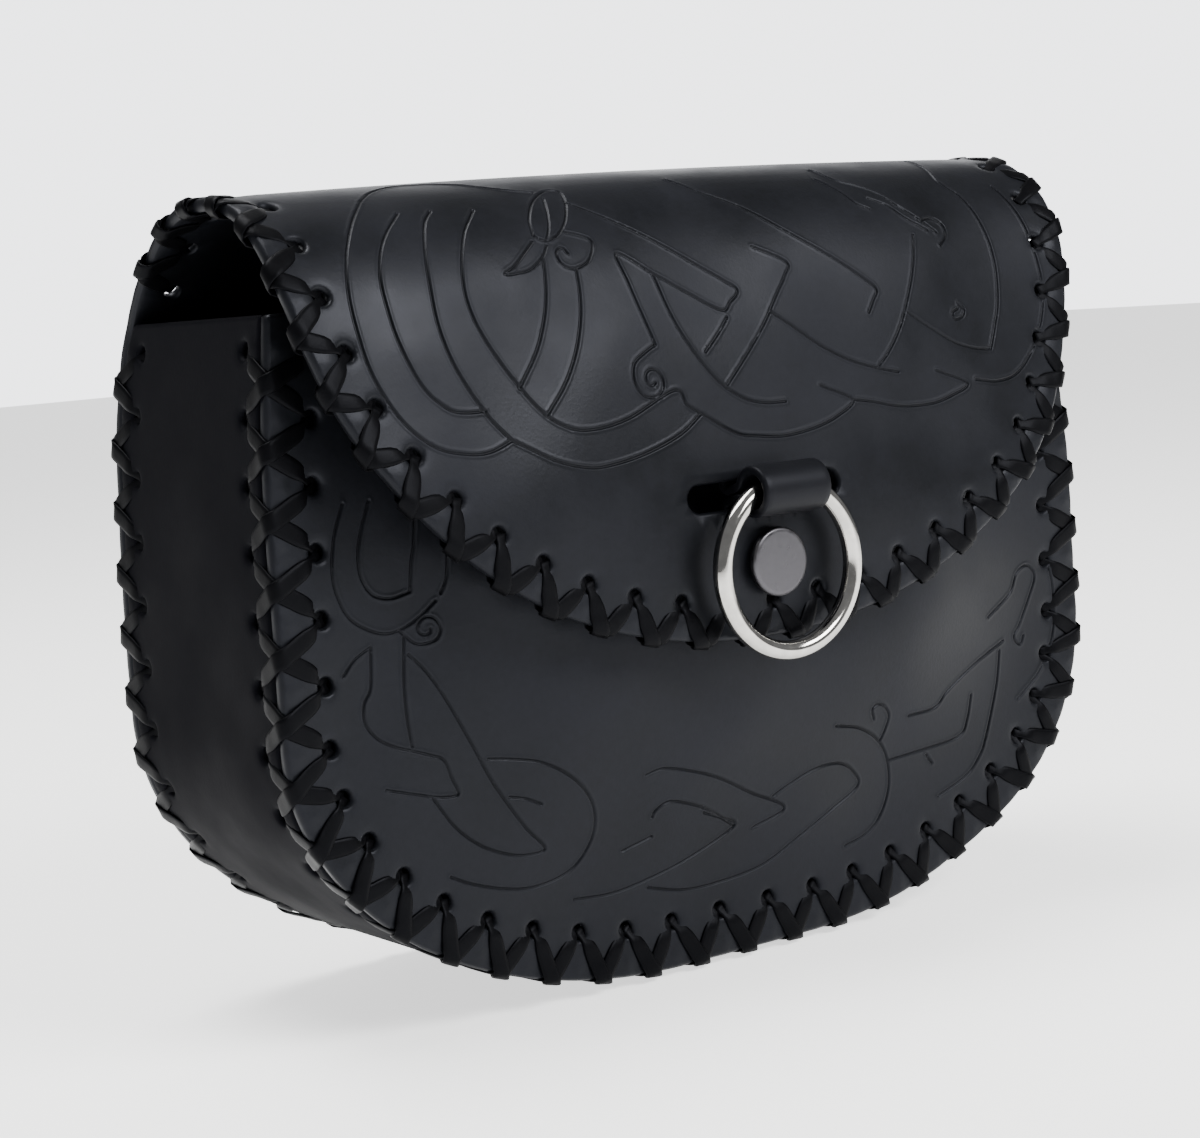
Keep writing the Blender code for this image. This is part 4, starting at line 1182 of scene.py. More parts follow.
# %% [markdown]
# ## Geometry Nodes that lay the lace
# The tree gets a seam as a line of points that know which way is outwards and which way is proud. It
# sets the crossing pair at even steps on a straight line, makes the copies real, and then moves every
# point: the first coordinate picks a place along the seam, the other two lead away from it.

# %% The lacing tree
def finish_named(name):
    """A material by name, made empty until its own cell fills it."""
    return bpy.data.materials.get(name) or bpy.data.materials.new(name)


def add(tree, kind, links=None, **settings):
    """Adds a node, sets its settings and fills its inputs with values or links."""
    made = tree.nodes.new(kind)
    for key, value in settings.items():
        setattr(made, key, value)
    for key, value in (links or {}).items():
        socket = made.inputs[key]
        if isinstance(value, bpy.types.NodeSocket):
            tree.links.new(value, socket)
        else:
            socket.default_value = value
    return made


def new_tree(name, inputs):
    """An empty Geometry Nodes tree with named inputs, and its input and output nodes."""
    tree = bpy.data.node_groups.new(name, "GeometryNodeTree")
    tree.interface.new_socket("Geometry", in_out="OUTPUT", socket_type="NodeSocketGeometry")
    tree.interface.new_socket("Geometry", in_out="INPUT", socket_type="NodeSocketGeometry")
    for label, kind in inputs:
        tree.interface.new_socket(label, in_out="INPUT", socket_type=kind)
    start = add(tree, "NodeGroupInput")
    end = add(tree, "NodeGroupOutput")
    return tree, start, end


def lacing_tree():
    """The tree that sets a pair at every hole and bends the row along the seam."""
    tree, start, end = new_tree(
        "lay_lace_along_seam",
        (
            ("Pair", "NodeSocketObject"),
            ("Pairs", "NodeSocketInt"),
            ("First hole", "NodeSocketFloat"),
            ("Pitch", "NodeSocketFloat"),
            ("Finish", "NodeSocketMaterial"),
        ),
    )
    seam = add(tree, "GeometryNodeMeshToCurve", {"Mesh": start.outputs["Geometry"]})
    first = add(tree, "ShaderNodeCombineXYZ", {"X": start.outputs["First hole"]}).outputs[0]
    step = add(tree, "ShaderNodeCombineXYZ", {"X": start.outputs["Pitch"]}).outputs[0]
    spacing = {"Count": start.outputs["Pairs"], "Start Location": first, "Offset": step}
    row = add(tree, "GeometryNodeMeshLine", spacing)
    pair = add(tree, "GeometryNodeObjectInfo", {"Object": start.outputs["Pair"]})
    holders = {"Points": row.outputs[0], "Instance": pair.outputs["Geometry"]}
    copies = add(tree, "GeometryNodeInstanceOnPoints", holders)
    real = add(tree, "GeometryNodeRealizeInstances", {"Geometry": copies.outputs[0]})
    place = add(tree, "GeometryNodeInputPosition")
    parts = add(tree, "ShaderNodeSeparateXYZ", {"Vector": place.outputs[0]})
    spots = []
    for direction in ("outwards", "proud"):
        named = {"Name": direction}
        stored = add(tree, "GeometryNodeInputNamedAttribute", named, data_type="FLOAT_VECTOR")
        value = stored.outputs["Attribute"]
        read = {"Curves": seam.outputs[0], "Value": value, "Length": parts.outputs["X"]}
        spots.append(add(tree, "GeometryNodeSampleCurve", read, mode="LENGTH", data_type="FLOAT_VECTOR"))
    moved = spots[0].outputs["Position"]
    for spot, axis in zip(spots, ("Y", "Z")):
        reach = {0: spot.outputs["Value"], "Scale": parts.outputs[axis]}
        away = add(tree, "ShaderNodeVectorMath", reach, operation="SCALE")
        sum_of = {0: moved, 1: away.outputs[0]}
        moved = add(tree, "ShaderNodeVectorMath", sum_of, operation="ADD").outputs[0]
    bent = add(tree, "GeometryNodeSetPosition", {"Geometry": real.outputs[0], "Position": moved})
    dye = {"Geometry": bent.outputs[0], "Material": start.outputs["Finish"]}
    dyed = add(tree, "GeometryNodeSetMaterial", dye)
    tree.links.new(dyed.outputs[0], end.inputs["Geometry"])
    return tree


LACING = lacing_tree()
print("lacing tree:", len(LACING.nodes), "nodes")

# %% Apply a tree and keep a plain mesh
def applied(holder, tree, values, name):
    """Runs a tree on an object with these inputs and returns the result as a plain mesh."""
    modifier = holder.modifiers.new(tree.name, "NODES")
    modifier.node_group = tree
    for item in tree.interface.items_tree:
        if item.in_out == "INPUT" and item.name in values:
            modifier[item.identifier] = values[item.name]
    holder.update_tag()
    bpy.context.view_layer.update()
    evaluated = holder.evaluated_get(bpy.context.evaluated_depsgraph_get())
    mesh = bpy.data.meshes.new_from_object(evaluated)
    mesh.name = name
    holder.modifiers.remove(modifier)
    return mesh


def seam_line(name, corners, outwards, proud):
    """A seam as a line of points with its two directions stored on them."""
    line = bpy.data.meshes.new(name)
    line.from_pydata(corners.tolist(), [(i, i + 1) for i in range(len(corners) - 1)], [])
    for label, values in (("outwards", outwards), ("proud", proud)):
        store = line.attributes.new(label, "FLOAT_VECTOR", "POINT")
        store.data.foreach_set("vector", np.asarray(values, np.float32).ravel())
    return shown(name, line)


def laced(name, seam, route, holes):
    """The lace of one seam as a piece, from its line of frames and its holes."""
    pitch = float(holes[1] - holes[0])
    pair = crossing_pair(name + "_pair", route, pitch)
    values = {
        "Pair": pair,
        "Pairs": len(holes) - 1,
        "First hole": float(holes[0]),
        "Pitch": pitch,
        "Finish": finish_named("black_goatskin_lace"),
    }
    mesh = applied(seam, LACING, values, name)
    points = np.array([v.co[:] for v in mesh.vertices])
    mesh.vertices.foreach_set("co", to_frame(points).astype(np.float32).ravel())
    mesh.shade_smooth()
    mesh.update()
    for helper in (seam, pair):
        bpy.data.objects.remove(helper)
    piece = shown(name, mesh)
    print(name + ":", len(holes) - 1, "pairs,", len(mesh.polygons), "faces")
    return piece


print("a seam's row of pairs turns into one piece")

# %% Lay the three laces
def flat_frames(distances, at, out):
    """Corners and outward directions of a seam in the plane of the front."""
    zero = np.zeros(len(distances))
    corners = np.stack([at[:, 0], zero, at[:, 1]], axis=-1)
    return corners, np.stack([out[:, 0], zero, out[:, 1]], axis=-1)


def rolled_frames(pattern_at, pattern_out):
    """Corners, outward and proud directions of a seam on the back-and-flap's edge."""
    slope = PROFILE.along(pattern_at[:, 1])
    zero = np.zeros(len(slope))
    corners = place_on_profile(pattern_at, zero)
    up = np.stack([zero, slope[:, 0], slope[:, 1]], axis=-1)
    outwards = up * pattern_out[:, 1:2]
    outwards[:, 0] += pattern_out[:, 0]
    return corners, outwards, np.stack([zero, slope[:, 1], -slope[:, 0]], axis=-1)


steps = OUTLINE.spread(1.0)
corners, outwards = flat_frames(steps, OUTLINE.at(steps), seam_outward(OUTLINE, steps))
front_way = np.tile((0.0, -1.0, 0.0), (len(steps), 1))
corner_lace = corner_route(HOLE_INSET, GUSSET_HOLE_INSET)
front_seam = seam_line("front_seam", corners, outwards, front_way)
front_lace = laced("lace_front_seam", front_seam, corner_lace, FRONT_HOLES)

steps = BACK_EDGE.spread(1.0)
corners, outwards, _ = rolled_frames(BACK_EDGE.at(steps), seam_outward(BACK_EDGE, steps))
back_way = np.tile((0.0, 1.0, 0.0), (len(steps), 1))
back_seam = seam_line("back_seam", corners, outwards, back_way)
back_lace = laced("lace_back_seam", back_seam, corner_lace, BACK_HOLES)

steps = FLAP_EDGE.spread(1.0)
corners, outwards, proud = rolled_frames(FLAP_EDGE.at(steps), flap_outward(steps))
flap_seam = seam_line("flap_edge", corners, outwards, proud)
flap_lace = laced("lace_flap_edge", flap_seam, edge_route(FLAP_HOLE_INSET), FLAP_HOLES)

# %% [markdown]
# ## Straps
# The little loop that holds the ring and the wide loop on the back are plain straps: a strip of leather
# with rounded edges that follows a line. The strip's cross-section is drawn once and carried along the
# line. The line is the CAD model's own, through the slot and round the ring.

# %% A strap along a line of (depth, height)
STRAP_STEP = 0.9
STRAP_EDGE = 0.32
END_THICKNESS = 0.55
CREASE_DEPTH = 0.35
CREASE_REACH = 0.45


def strap_mesh(name, line, width, thickness, columns, crease=None):
    """A strap whose middle follows the line, with rounded edges and, if asked, a crease beside them."""
    path = Path(line)
    steps = path.spread(STRAP_STEP)
    at = path.at(steps)
    slope = path.along(steps, 0.5)
    normal = np.stack([slope[:, 1], -slope[:, 0]], axis=-1)
    radius = thickness * STRAP_EDGE
    reach = width / 2 - radius
    top = np.linspace(-reach, reach, columns)
    if crease is not None:
        inset = width / 2 - crease
        extra = [s * (inset + d) for s in (-1, 1) for d in (-0.8, -0.4, 0.0, 0.4, 0.8)]
        top = np.array(sorted(set(np.round(np.concatenate([top, extra]), 4))))
    section = []
    for x in top:
        dent = 0.0
        if crease is not None:
            dent = CREASE_DEPTH * math.exp(-(((abs(x) - width / 2 + crease) / CREASE_REACH) ** 2))
        section.append((x, thickness / 2 - dent))
    for i in range(1, 6):
        turn = math.pi / 2 * (1 - i / 3)
        section.append((reach + radius * math.cos(turn), (thickness / 2) * math.sin(turn)))
    for x in top[::-1]:
        section.append((x, -thickness / 2))
    for i in range(1, 6):
        turn = -math.pi / 2 - math.pi / 2 * i / 3
        section.append((-reach + radius * math.cos(turn), (thickness / 2) * math.sin(turn)))
    section = np.array(section)
    points = []
    for k in range(len(steps)):
        edge = min(steps[k], path.length - steps[k])
        pinch = END_THICKNESS + (1 - END_THICKNESS) * min(edge / STRAP_STEP, 1.0) ** 0.5
        for x, up in section:
            y, z = at[k] + normal[k] * up * pinch
            points.append((x, y, z))
    return plain_mesh(name, to_frame(points), tube_faces(len(steps), len(section)))


def arc(centre, radius, start, end, steps):
    """Points on an arc, with its ends in degrees."""
    turns = np.radians(np.linspace(start, end, steps + 1))
    return [np.array(centre) + radius * np.array((math.cos(t), math.sin(t))) for t in turns]


def flap_frame(height):
    """A point on the flap's outer face at a height and its outward direction, as (depth, height)."""
    distance = flap_distance(height)
    along = PROFILE.along(distance)
    return PROFILE.at(distance), np.array((along[1], -along[0]))


place, outward = flap_frame(SLOT_HEIGHT)
PIVOT = place + outward * (LOOP_RADIUS + GAP)
print("the ring turns at depth", np.round(PIVOT, 2), "mm")

# %% The loop that holds the ring
def ring_loop_line():
    """Up foot behind the flap, round the ring, down foot, as points of (depth, height)."""
    middle = TUNNEL_RADIUS + LOOP_LEATHER / 2
    ply = LOOP_LEATHER / 2 + GAP / 2
    opening = math.degrees(math.asin(ply / middle))
    barrel = arc(PIVOT, middle, opening, 360 - opening, 40)
    feet = []
    for side, reach in ((1, LOOP_FOOT_UP), (-1, LOOP_FOOT_DOWN)):
        inner = []
        for i in range(9):
            height = SLOT_HEIGHT + side * (ply + LOOP_LEATHER + (reach - ply - LOOP_LEATHER) * i / 8)
            at, out = flap_frame(height)
            inner.append(at - out * (LEATHER + GAP + LOOP_LEATHER / 2))
        centre = inner[0] - (LOOP_LEATHER, 0.0)
        feet.append(arc(centre, LOOP_LEATHER, -90 * side, 0, 8) + inner[1:])
    return np.array(list(reversed(feet[0])) + barrel + feet[1])


loop_mesh = strap_mesh("strap_ring_loop", ring_loop_line(), LOOP_WIDTH, LOOP_LEATHER, 13)
ring_loop = shown("strap_ring_loop", loop_mesh)
print("ring loop:", len(loop_mesh.polygons), "faces")

# %% The wide loop for the belt
def belt_loop_line():
    """The middle of the belt loop's strap, from its lower seam to its upper one."""
    near = BODY_DEPTH + GAP + LEATHER / 2
    far = near + BELT_SLOT_DEPTH
    top = BELT_SLOT_FOOT + BELT_SLOT_HEIGHT
    bend = BELT_SLOT_DEPTH / 2
    line = [np.array((near, BELT_SLOT_FOOT - BELT_LOOP_SEAM)), np.array((near, BELT_SLOT_FOOT - bend))]
    line += arc((near + bend, BELT_SLOT_FOOT - bend), bend, 180, 90, 8)[1:]
    line += arc((far - bend, BELT_SLOT_FOOT + bend), bend, -90, 0, 8)[1:]
    line += arc((far - bend, top - bend), bend, 0, 90, 8)
    line += arc((near + bend, top + bend), bend, 270, 180, 8)[1:]
    line.append(np.array((near, top + BELT_LOOP_SEAM)))
    return np.array(line)


belt_mesh = strap_mesh("leather_belt_loop", belt_loop_line(), BELT_LOOP_WIDTH, LEATHER, 25, crease=3.0)
belt_loop = shown("leather_belt_loop", belt_mesh)
print("belt loop:", len(belt_mesh.polygons), "faces")

# %% [markdown]
# ## Metal
# The ring is a wire bent round and welded. The snap's cap is stamped flat from sheet with its rim
# turned down, and rivets have low domes. All but the ring are turned shapes: a profile spun about an
# axis. The rivets repeat, so a small tree sets one at each of four points.

# %% The ring
WELD_HEIGHT = 0.035
WELD_REACH = 1.1


def wire_ring(centre, radius, wire, around=120, section=28):
    """A ring that stands in the plane of the front, with a shallow weld at its top."""
    points = []
    for k in range(around):
        turn = 2 * math.pi * k / around
        apart = min(turn, 2 * math.pi - turn) * radius
        thick = wire * (1.0 + WELD_HEIGHT * math.exp(-((apart / WELD_REACH) ** 2)))
        for i in range(section):
            roll = 2 * math.pi * i / section
            reach = radius + thick * math.cos(roll)
            points.append(
                (
                    centre[0] + reach * math.sin(turn),
                    centre[1] + thick * math.sin(roll),
                    centre[2] + reach * math.cos(turn),
                )
            )
    faces = []
    for k in range(around):
        here = k * section
        following = (k + 1) % around * section
        for i in range(section):
            j = (i + 1) % section
            faces.append((here + i, here + j, following + j, following + i))
    return plain_mesh("steel_ring", framed(points), faces)


ring_centre = (0.0, PIVOT[0], PIVOT[1] + RING_SAG / 2 - RING_MEAN_RADIUS)
ring = shown("steel_ring", wire_ring(ring_centre, RING_MEAN_RADIUS, RING_WIRE / 2))
low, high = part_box("closure_ring")
print("ring hangs", round(ring_centre[2] * MM - (low.z + high.z) / 2, 5), "m from its CAD solid")

# %% Turned pieces
def turned(name, profile, place, direction, around=64):
    """A profile of (radius, height) spun about an axis through place, from its top down."""
    axis = np.array(direction, float)
    side = np.cross(axis, (1.0, 0.0, 0.0))
    side /= np.linalg.norm(side)
    other = np.cross(axis, side)
    points = []
    for radius, height in profile:
        for i in range(around):
            turn = 2 * math.pi * i / around
            reach = radius * (math.cos(turn) * side + math.sin(turn) * other)
            points.append(np.array(place) + reach + axis * height)
    return plain_mesh(name, points, tube_faces(len(profile), around))


def rounded(corners, radius=0.25, steps=3):
    """A profile with its inner corners cut round, so that the light catches its edges."""
    result = [corners[0]]
    for before, here, after in zip(corners, corners[1:], corners[2:]):
        b, h, a = np.array(before, float), np.array(here, float), np.array(after, float)
        room = min(radius, np.linalg.norm(b - h) * 0.45, np.linalg.norm(a - h) * 0.45)
        start = h + (b - h) / np.linalg.norm(b - h) * room
        end = h + (a - h) / np.linalg.norm(a - h) * room
        for i in range(steps + 1):
            t = i / steps
            result.append(tuple((1 - t) ** 2 * start + 2 * t * (1 - t) * h + t * t * end))
    result.append(corners[-1])
    return result


CAP = [
    (0.01, CAP_THICKNESS), (5.45, CAP_THICKNESS), (5.9, 2.08), (6.15, 1.85), (CAP_RADIUS, 1.5),
    (CAP_RADIUS, 1.0), (5.8, 0.5), (5.0, 0.12), (SNAP_POST_RADIUS, 0.12),
]
grip = LEATHER + LOOP_LEATHER + 3 * GAP
SOCKET = [
    (SNAP_POST_RADIUS, -grip), (SOCKET_RADIUS, -grip), (SOCKET_RADIUS, -grip - SOCKET_THICKNESS + 0.5),
    (SOCKET_RADIUS - 0.7, -grip - SOCKET_THICKNESS), (0.01, -grip - SOCKET_THICKNESS),
]
place, outward = flap_frame(SNAP_HEIGHT)
snap_place = np.array((0.0, *(place + outward * GAP)))
snap_rows = rounded(CAP + SOCKET)
snap_mesh = turned("snap_cap", snap_rows, snap_place, (0.0, *outward))
print("snap's profile has", len(snap_rows), "rows")

# %% The stud on the front, and the rivets
def rigid(mesh):
    """Scales a metal piece's mesh from millimetres into the frame, without the leather's waves."""
    points = framed([v.co[:] for v in mesh.vertices])
    mesh.vertices.foreach_set("co", points.astype(np.float32).ravel())
    mesh.update()
    return mesh


snap_cap = shown("snap_cap_and_socket", rigid(snap_mesh))
socket_back = place - outward * (grip - GAP + SOCKET_THICKNESS)
seat_depth = -float(belly_at(np.array([0.0]), np.array([socket_back[1]]))[0])
reach = (seat_depth - socket_back[0]) - 2 * GAP
washer = -(LEATHER + 2 * GAP)
STUD = [
    (0.01, reach), (STUD_RADIUS, reach), (STUD_RADIUS, 0.0), (SNAP_POST_RADIUS, 0.0),
    (SNAP_POST_RADIUS, washer), (STUD_RADIUS, washer), (STUD_RADIUS, washer - WASHER_THICKNESS),
    (0.01, washer - WASHER_THICKNESS),
]
stud_place = (0.0, seat_depth - GAP, socket_back[1])
snap_stud = shown("snap_stud_and_washer", rigid(turned("snap_stud", rounded(STUD), stud_place, (0, -1, 0))))

rivet_grip = -(2 * LEATHER + 3 * GAP)
RIVET = [
    (0.01, RIVET_CAP_THICKNESS), (1.6, RIVET_CAP_THICKNESS * 0.97), (3.0, RIVET_CAP_THICKNESS * 0.8),
    (4.0, RIVET_CAP_THICKNESS * 0.5), (RIVET_CAP_RADIUS, 0.15), (RIVET_CAP_RADIUS - 0.2, 0.0),
    (RIVET_POST_RADIUS, 0.0), (RIVET_POST_RADIUS, rivet_grip), (RIVET_CAP_RADIUS, rivet_grip),
    (RIVET_CAP_RADIUS, rivet_grip - WASHER_THICKNESS), (0.01, rivet_grip - WASHER_THICKNESS),
]
print("stud stands", round(reach, 2), "mm out of the front")


def points_tree():
    """The tree that sets a rivet on every point of its geometry."""
    inputs = (("Rivet", "NodeSocketObject"), ("Finish", "NodeSocketMaterial"))
    tree, start, end = new_tree("set_rivets", inputs)
    rivet = add(tree, "GeometryNodeObjectInfo", {"Object": start.outputs["Rivet"]})
    seats = {"Points": start.outputs["Geometry"], "Instance": rivet.outputs["Geometry"]}
    copies = add(tree, "GeometryNodeInstanceOnPoints", seats)
    real = add(tree, "GeometryNodeRealizeInstances", {"Geometry": copies.outputs[0]})
    plating = {"Geometry": real.outputs[0], "Material": start.outputs["Finish"]}
    plated = add(tree, "GeometryNodeSetMaterial", plating)
    tree.links.new(plated.outputs[0], end.inputs["Geometry"])
    return tree


# %% Set the rivets
rivet_shape = shown("rivet_shape", turned("rivet", rounded(RIVET, 0.2), (0, 0, 0), (0, 1, 0), 40))
seats = [(x, BODY_DEPTH + LEATHER + 2 * GAP, z) for x, z in rivet_spots]
seat_mesh = bpy.data.meshes.new("rivet_seats")
seat_mesh.from_pydata(seats, [], [])
holder = shown("rivet_seats", seat_mesh)
rivet_inputs = {"Rivet": rivet_shape, "Finish": finish_named("nickel_plated_steel")}
rivets_mesh = applied(holder, points_tree(), rivet_inputs, "belt_loop_rivets")
rivets_mesh.shade_smooth()
rivets = shown("belt_loop_rivets", rigid(rivets_mesh))
for helper in (rivet_shape, holder):
    bpy.data.objects.remove(helper)
print("rivets:", len(rivets_mesh.polygons), "faces")

# %% [markdown]
# ## Finishes
# The pouch is vegetable-tanned cowhide, dyed black and waxed to a satin shine. Its colour is not dead
# black: dye lies a little thicker here and thinner there, and the wax gives a soft, broken gloss. A
# Principled shader with a very dark base, a middling roughness and a fine grain in its bump gives that.
# Dyed leather throws back less light than bare plastic or glass, so its specular level is low. Other
# ways, such as a glossy coat, would look like plastic. Texture scales count per metre: a noise of scale
# 45 makes patches about 22 mm across, and pebbles of scale 1250 are 0.8 mm wide, as on fine cowhide.

# %% Colours from sRGB
def linear(code, alpha=1.0):
    """A linear colour from an sRGB hex value."""
    channels = [int(code[i : i + 2], 16) / 255 for i in (1, 3, 5)]
    levels = [c / 12.92 if c <= 0.04045 else ((c + 0.055) / 1.055) ** 2.4 for c in channels]
    return (*levels, alpha)


def shader_of(name):
    """A material by name with its tree and its Principled shader."""
    material = finish_named(name)
    material.use_nodes = True
    tree = material.node_tree
    return material, tree, tree.nodes["Principled BSDF"]


def set_inputs(shader, **values):
    """Sets sockets by name, with an underscore for each space."""
    for key, value in values.items():
        shader.inputs[key.replace("_", " ")].default_value = value


print("a middle grey is", round(linear("#808080")[0], 3), "in linear light")

# %% Leather finishes
# Dye in patches 22 mm wide with specks of 1 mm, PATCH_SHARE of it from the patches.
PATCH_SCALE = 45.0
SPECK_SCALE = 900.0
PATCH_SHARE = 0.7
SPECK_SHARE = 0.3
# The dye turns from dark to light over this part of the noise. Painted shade: in a groove the colour is
# multiplied by this share, most at its bottom.
DYE_RANGE = (0.35, 0.68)
GROOVE_PAINTED_SHADE = (0.35, 0.35, 0.35, 1.0)
# Over this part of the noise the wax turns from glossier to duller, in steps from the given roughness.
WAX_RANGE = (0.3, 0.7)
WAX_STEPS = (-0.08, 0.12)
WAX_TINT = "#eef1ff"
# The grain's strength and its height in metres, with pores finer than the pebbles.
GRAIN_STRENGTH = 0.14
GRAIN_HEIGHT = 0.00012
PORES_TO_PEBBLES = 1.7


def leather_finish(name, dark, light, roughness, grain, specular, with_painted_groove_shade=False):
    """Dyed and waxed leather: patchy colour, broken gloss, a fine pebbled grain and, if asked, painted
    shade in grooves.
    """
    material, tree, shader = shader_of(name)
    place = add(tree, "ShaderNodeTexCoord").outputs["Object"]
    patches = add(tree, "ShaderNodeTexNoise", {"Vector": place, "Scale": PATCH_SCALE, "Detail": 5.0})
    specks = add(tree, "ShaderNodeTexNoise", {"Vector": place, "Scale": SPECK_SCALE, "Detail": 3.0})
    shares = {0: patches.outputs[0], 1: PATCH_SHARE}
    base = add(tree, "ShaderNodeMath", shares, operation="MULTIPLY")
    shares = {0: specks.outputs[0], 1: SPECK_SHARE, 2: base.outputs[0]}
    tone = add(tree, "ShaderNodeMath", shares, operation="MULTIPLY_ADD")
    ramp = add(tree, "ShaderNodeValToRGB", {"Fac": tone.outputs[0]})
    for stop, position, code in zip(ramp.color_ramp.elements, DYE_RANGE, (dark, light)):
        stop.position = position
        stop.color = linear(code)
    colour = ramp.outputs["Color"]
    # Painted shade: the base colour darkens with the stored groove depth, so the tooled lines look shaded.
    if with_painted_groove_shade:
        depth = add(tree, "ShaderNodeAttribute", attribute_name="groove").outputs["Fac"]
        painted_groove_shade = add(tree, "ShaderNodeMix", data_type="RGBA", blend_type="MULTIPLY")
        tree.links.new(depth, painted_groove_shade.inputs["Factor"])
        tree.links.new(colour, painted_groove_shade.inputs["A"])
        painted_groove_shade.inputs["B"].default_value = GROOVE_PAINTED_SHADE
        colour = painted_groove_shade.outputs["Result"]
    tree.links.new(colour, shader.inputs["Base Color"])
    wax = {"Value": patches.outputs[0], "From Min": WAX_RANGE[0], "From Max": WAX_RANGE[1]}
    wax |= {"To Min": roughness + WAX_STEPS[0], "To Max": roughness + WAX_STEPS[1]}
    gloss = add(tree, "ShaderNodeMapRange", wax)
    tree.links.new(gloss.outputs["Result"], shader.inputs["Roughness"])
    pebbles = add(tree, "ShaderNodeTexVoronoi", {"Vector": place, "Scale": grain}, feature="F1")
    fine = {"Vector": place, "Scale": grain * PORES_TO_PEBBLES, "Detail": 4.0}
    pores = add(tree, "ShaderNodeTexNoise", fine)
    heights = {0: pebbles.outputs["Distance"], 1: 0.5, 2: pores.outputs[0]}
    surface = add(tree, "ShaderNodeMath", heights, operation="MULTIPLY_ADD").outputs[0]
    relief = {"Height": surface, "Strength": GRAIN_STRENGTH, "Distance": GRAIN_HEIGHT}
    bump = add(tree, "ShaderNodeBump", relief)
    tree.links.new(bump.outputs["Normal"], shader.inputs["Normal"])
    set_inputs(shader, Specular_IOR_Level=specular, Specular_Tint=linear(WAX_TINT))
    return material


# Flap, back and front: satin black that goes grey where it mirrors a bright surround, with painted shade in
# the grooves.
black_leather = leather_finish(
    "waxed_black_cowhide", "#08090b", "#111216", 0.42, 1250.0, 0.13, with_painted_groove_shade=True
)
# Gusset: the same hide, flat without wax, its colour darkened as painted shade to keep the sides in the
# shade.
gusset_leather_painted_shade = leather_finish("flat_black_cowhide_painted_shade", "#040407", "#08080b", 0.7, 1250.0, 0.05)
# Inner faces: rough and fibrous, next to no shine, so that the mouth reads as a dark hollow.
flesh_side = leather_finish("black_flesh_side", "#050506", "#09090b", 0.9, 700.0, 0.05)
# Lace: thin goatskin with a tight grain, almost black, with small gleams where it turns over an edge.
lace_leather = leather_finish("black_goatskin_lace", "#030304", "#060607", 0.42, 1500.0, 0.048)
# Ring loop and belt loop: firm hide with a smooth, slightly rubbed face and a narrow soft highlight.
strap_leather = leather_finish("black_strap_cowhide", "#07070a", "#0d0e11", 0.46, 1300.0, 0.11)
print("leather finishes:", black_leather.name, gusset_leather_painted_shade.name, flesh_side.name, lace_leather.name)

# %% Metal finishes
# The marks' part of the noise, what roughness they give as shares of the given one, and their height.
MARKS_RANGE = (0.3, 0.7)
GLOSS_SHARES = (0.75, 1.35)
MARKS_STRENGTH = 0.12
MARKS_HEIGHT = 0.00008


def metal_finish(name, colours, roughness, scratches):
    """Plated or polished steel with fine handling marks."""
    material, tree, shader = shader_of(name)
    place = add(tree, "ShaderNodeTexCoord").outputs["Object"]
    marks = add(tree, "ShaderNodeTexNoise", {"Vector": place, "Scale": scratches, "Detail": 6.0})
    ramp = add(tree, "ShaderNodeValToRGB", {"Fac": marks.outputs[0]})
    for stop, position, code in zip(ramp.color_ramp.elements, MARKS_RANGE, colours):
        stop.position = position
        stop.color = linear(code)
    tree.links.new(ramp.outputs["Color"], shader.inputs["Base Color"])
    polish = {"Value": marks.outputs[0], "From Min": MARKS_RANGE[0], "From Max": MARKS_RANGE[1]}
    polish |= {"To Min": roughness * GLOSS_SHARES[0], "To Max": roughness * GLOSS_SHARES[1]}
    gloss = add(tree, "ShaderNodeMapRange", polish)
    tree.links.new(gloss.outputs["Result"], shader.inputs["Roughness"])
    relief = {"Height": marks.outputs[0], "Strength": MARKS_STRENGTH, "Distance": MARKS_HEIGHT}
    bump = add(tree, "ShaderNodeBump", relief)
    tree.links.new(bump.outputs["Normal"], shader.inputs["Normal"])
    set_inputs(shader, Metallic=1.0)
    return material


# Ring: bright wire that mirrors dark leather and pale table in long streaks, marks about 2.4 mm apart.
polished = metal_finish("polished_steel_wire", ("#a9a7a3", "#bebcb7"), 0.1, 420.0)
# Snap and rivets: dark satin nickel, an even grey disc without sharp mirror images, marks of 1.7 mm.
plated = metal_finish("nickel_plated_steel", ("#48474a", "#504f52"), 0.33, 600.0)
print("metal finishes:", polished.name, plated.name)

# %% [markdown]
# ## Pieces on their bodies
# Only the ring swings. All leather, lace and fastenings belong to the pouch's own body. Each piece
# stands in for the CAD solid that it was made around, which stays in the simulation for collisions.

# %% Dress the pieces
def dressed(piece, body, materials, nodes):
    """Gives a piece its finishes, its body and the CAD nodes it stands in for."""
    piece.data.materials.clear()
    for material in materials:
        piece.data.materials.append(material)
    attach(piece, body)
    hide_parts(*nodes)


back_and_flap = shown("leather_back_and_flap", flap_mesh)
front = shown("leather_front", front_mesh)
gusset = shown("leather_gusset", gusset_mesh)
rivet_nodes = [f"belt_loop_rivet_{k}" for k in (1, 2, 3, 4)]
dressed(back_and_flap, "pouch", (black_leather, flesh_side), ["back_flap_panel"])
dressed(front, "pouch", (black_leather, flesh_side), ["front_panel"])
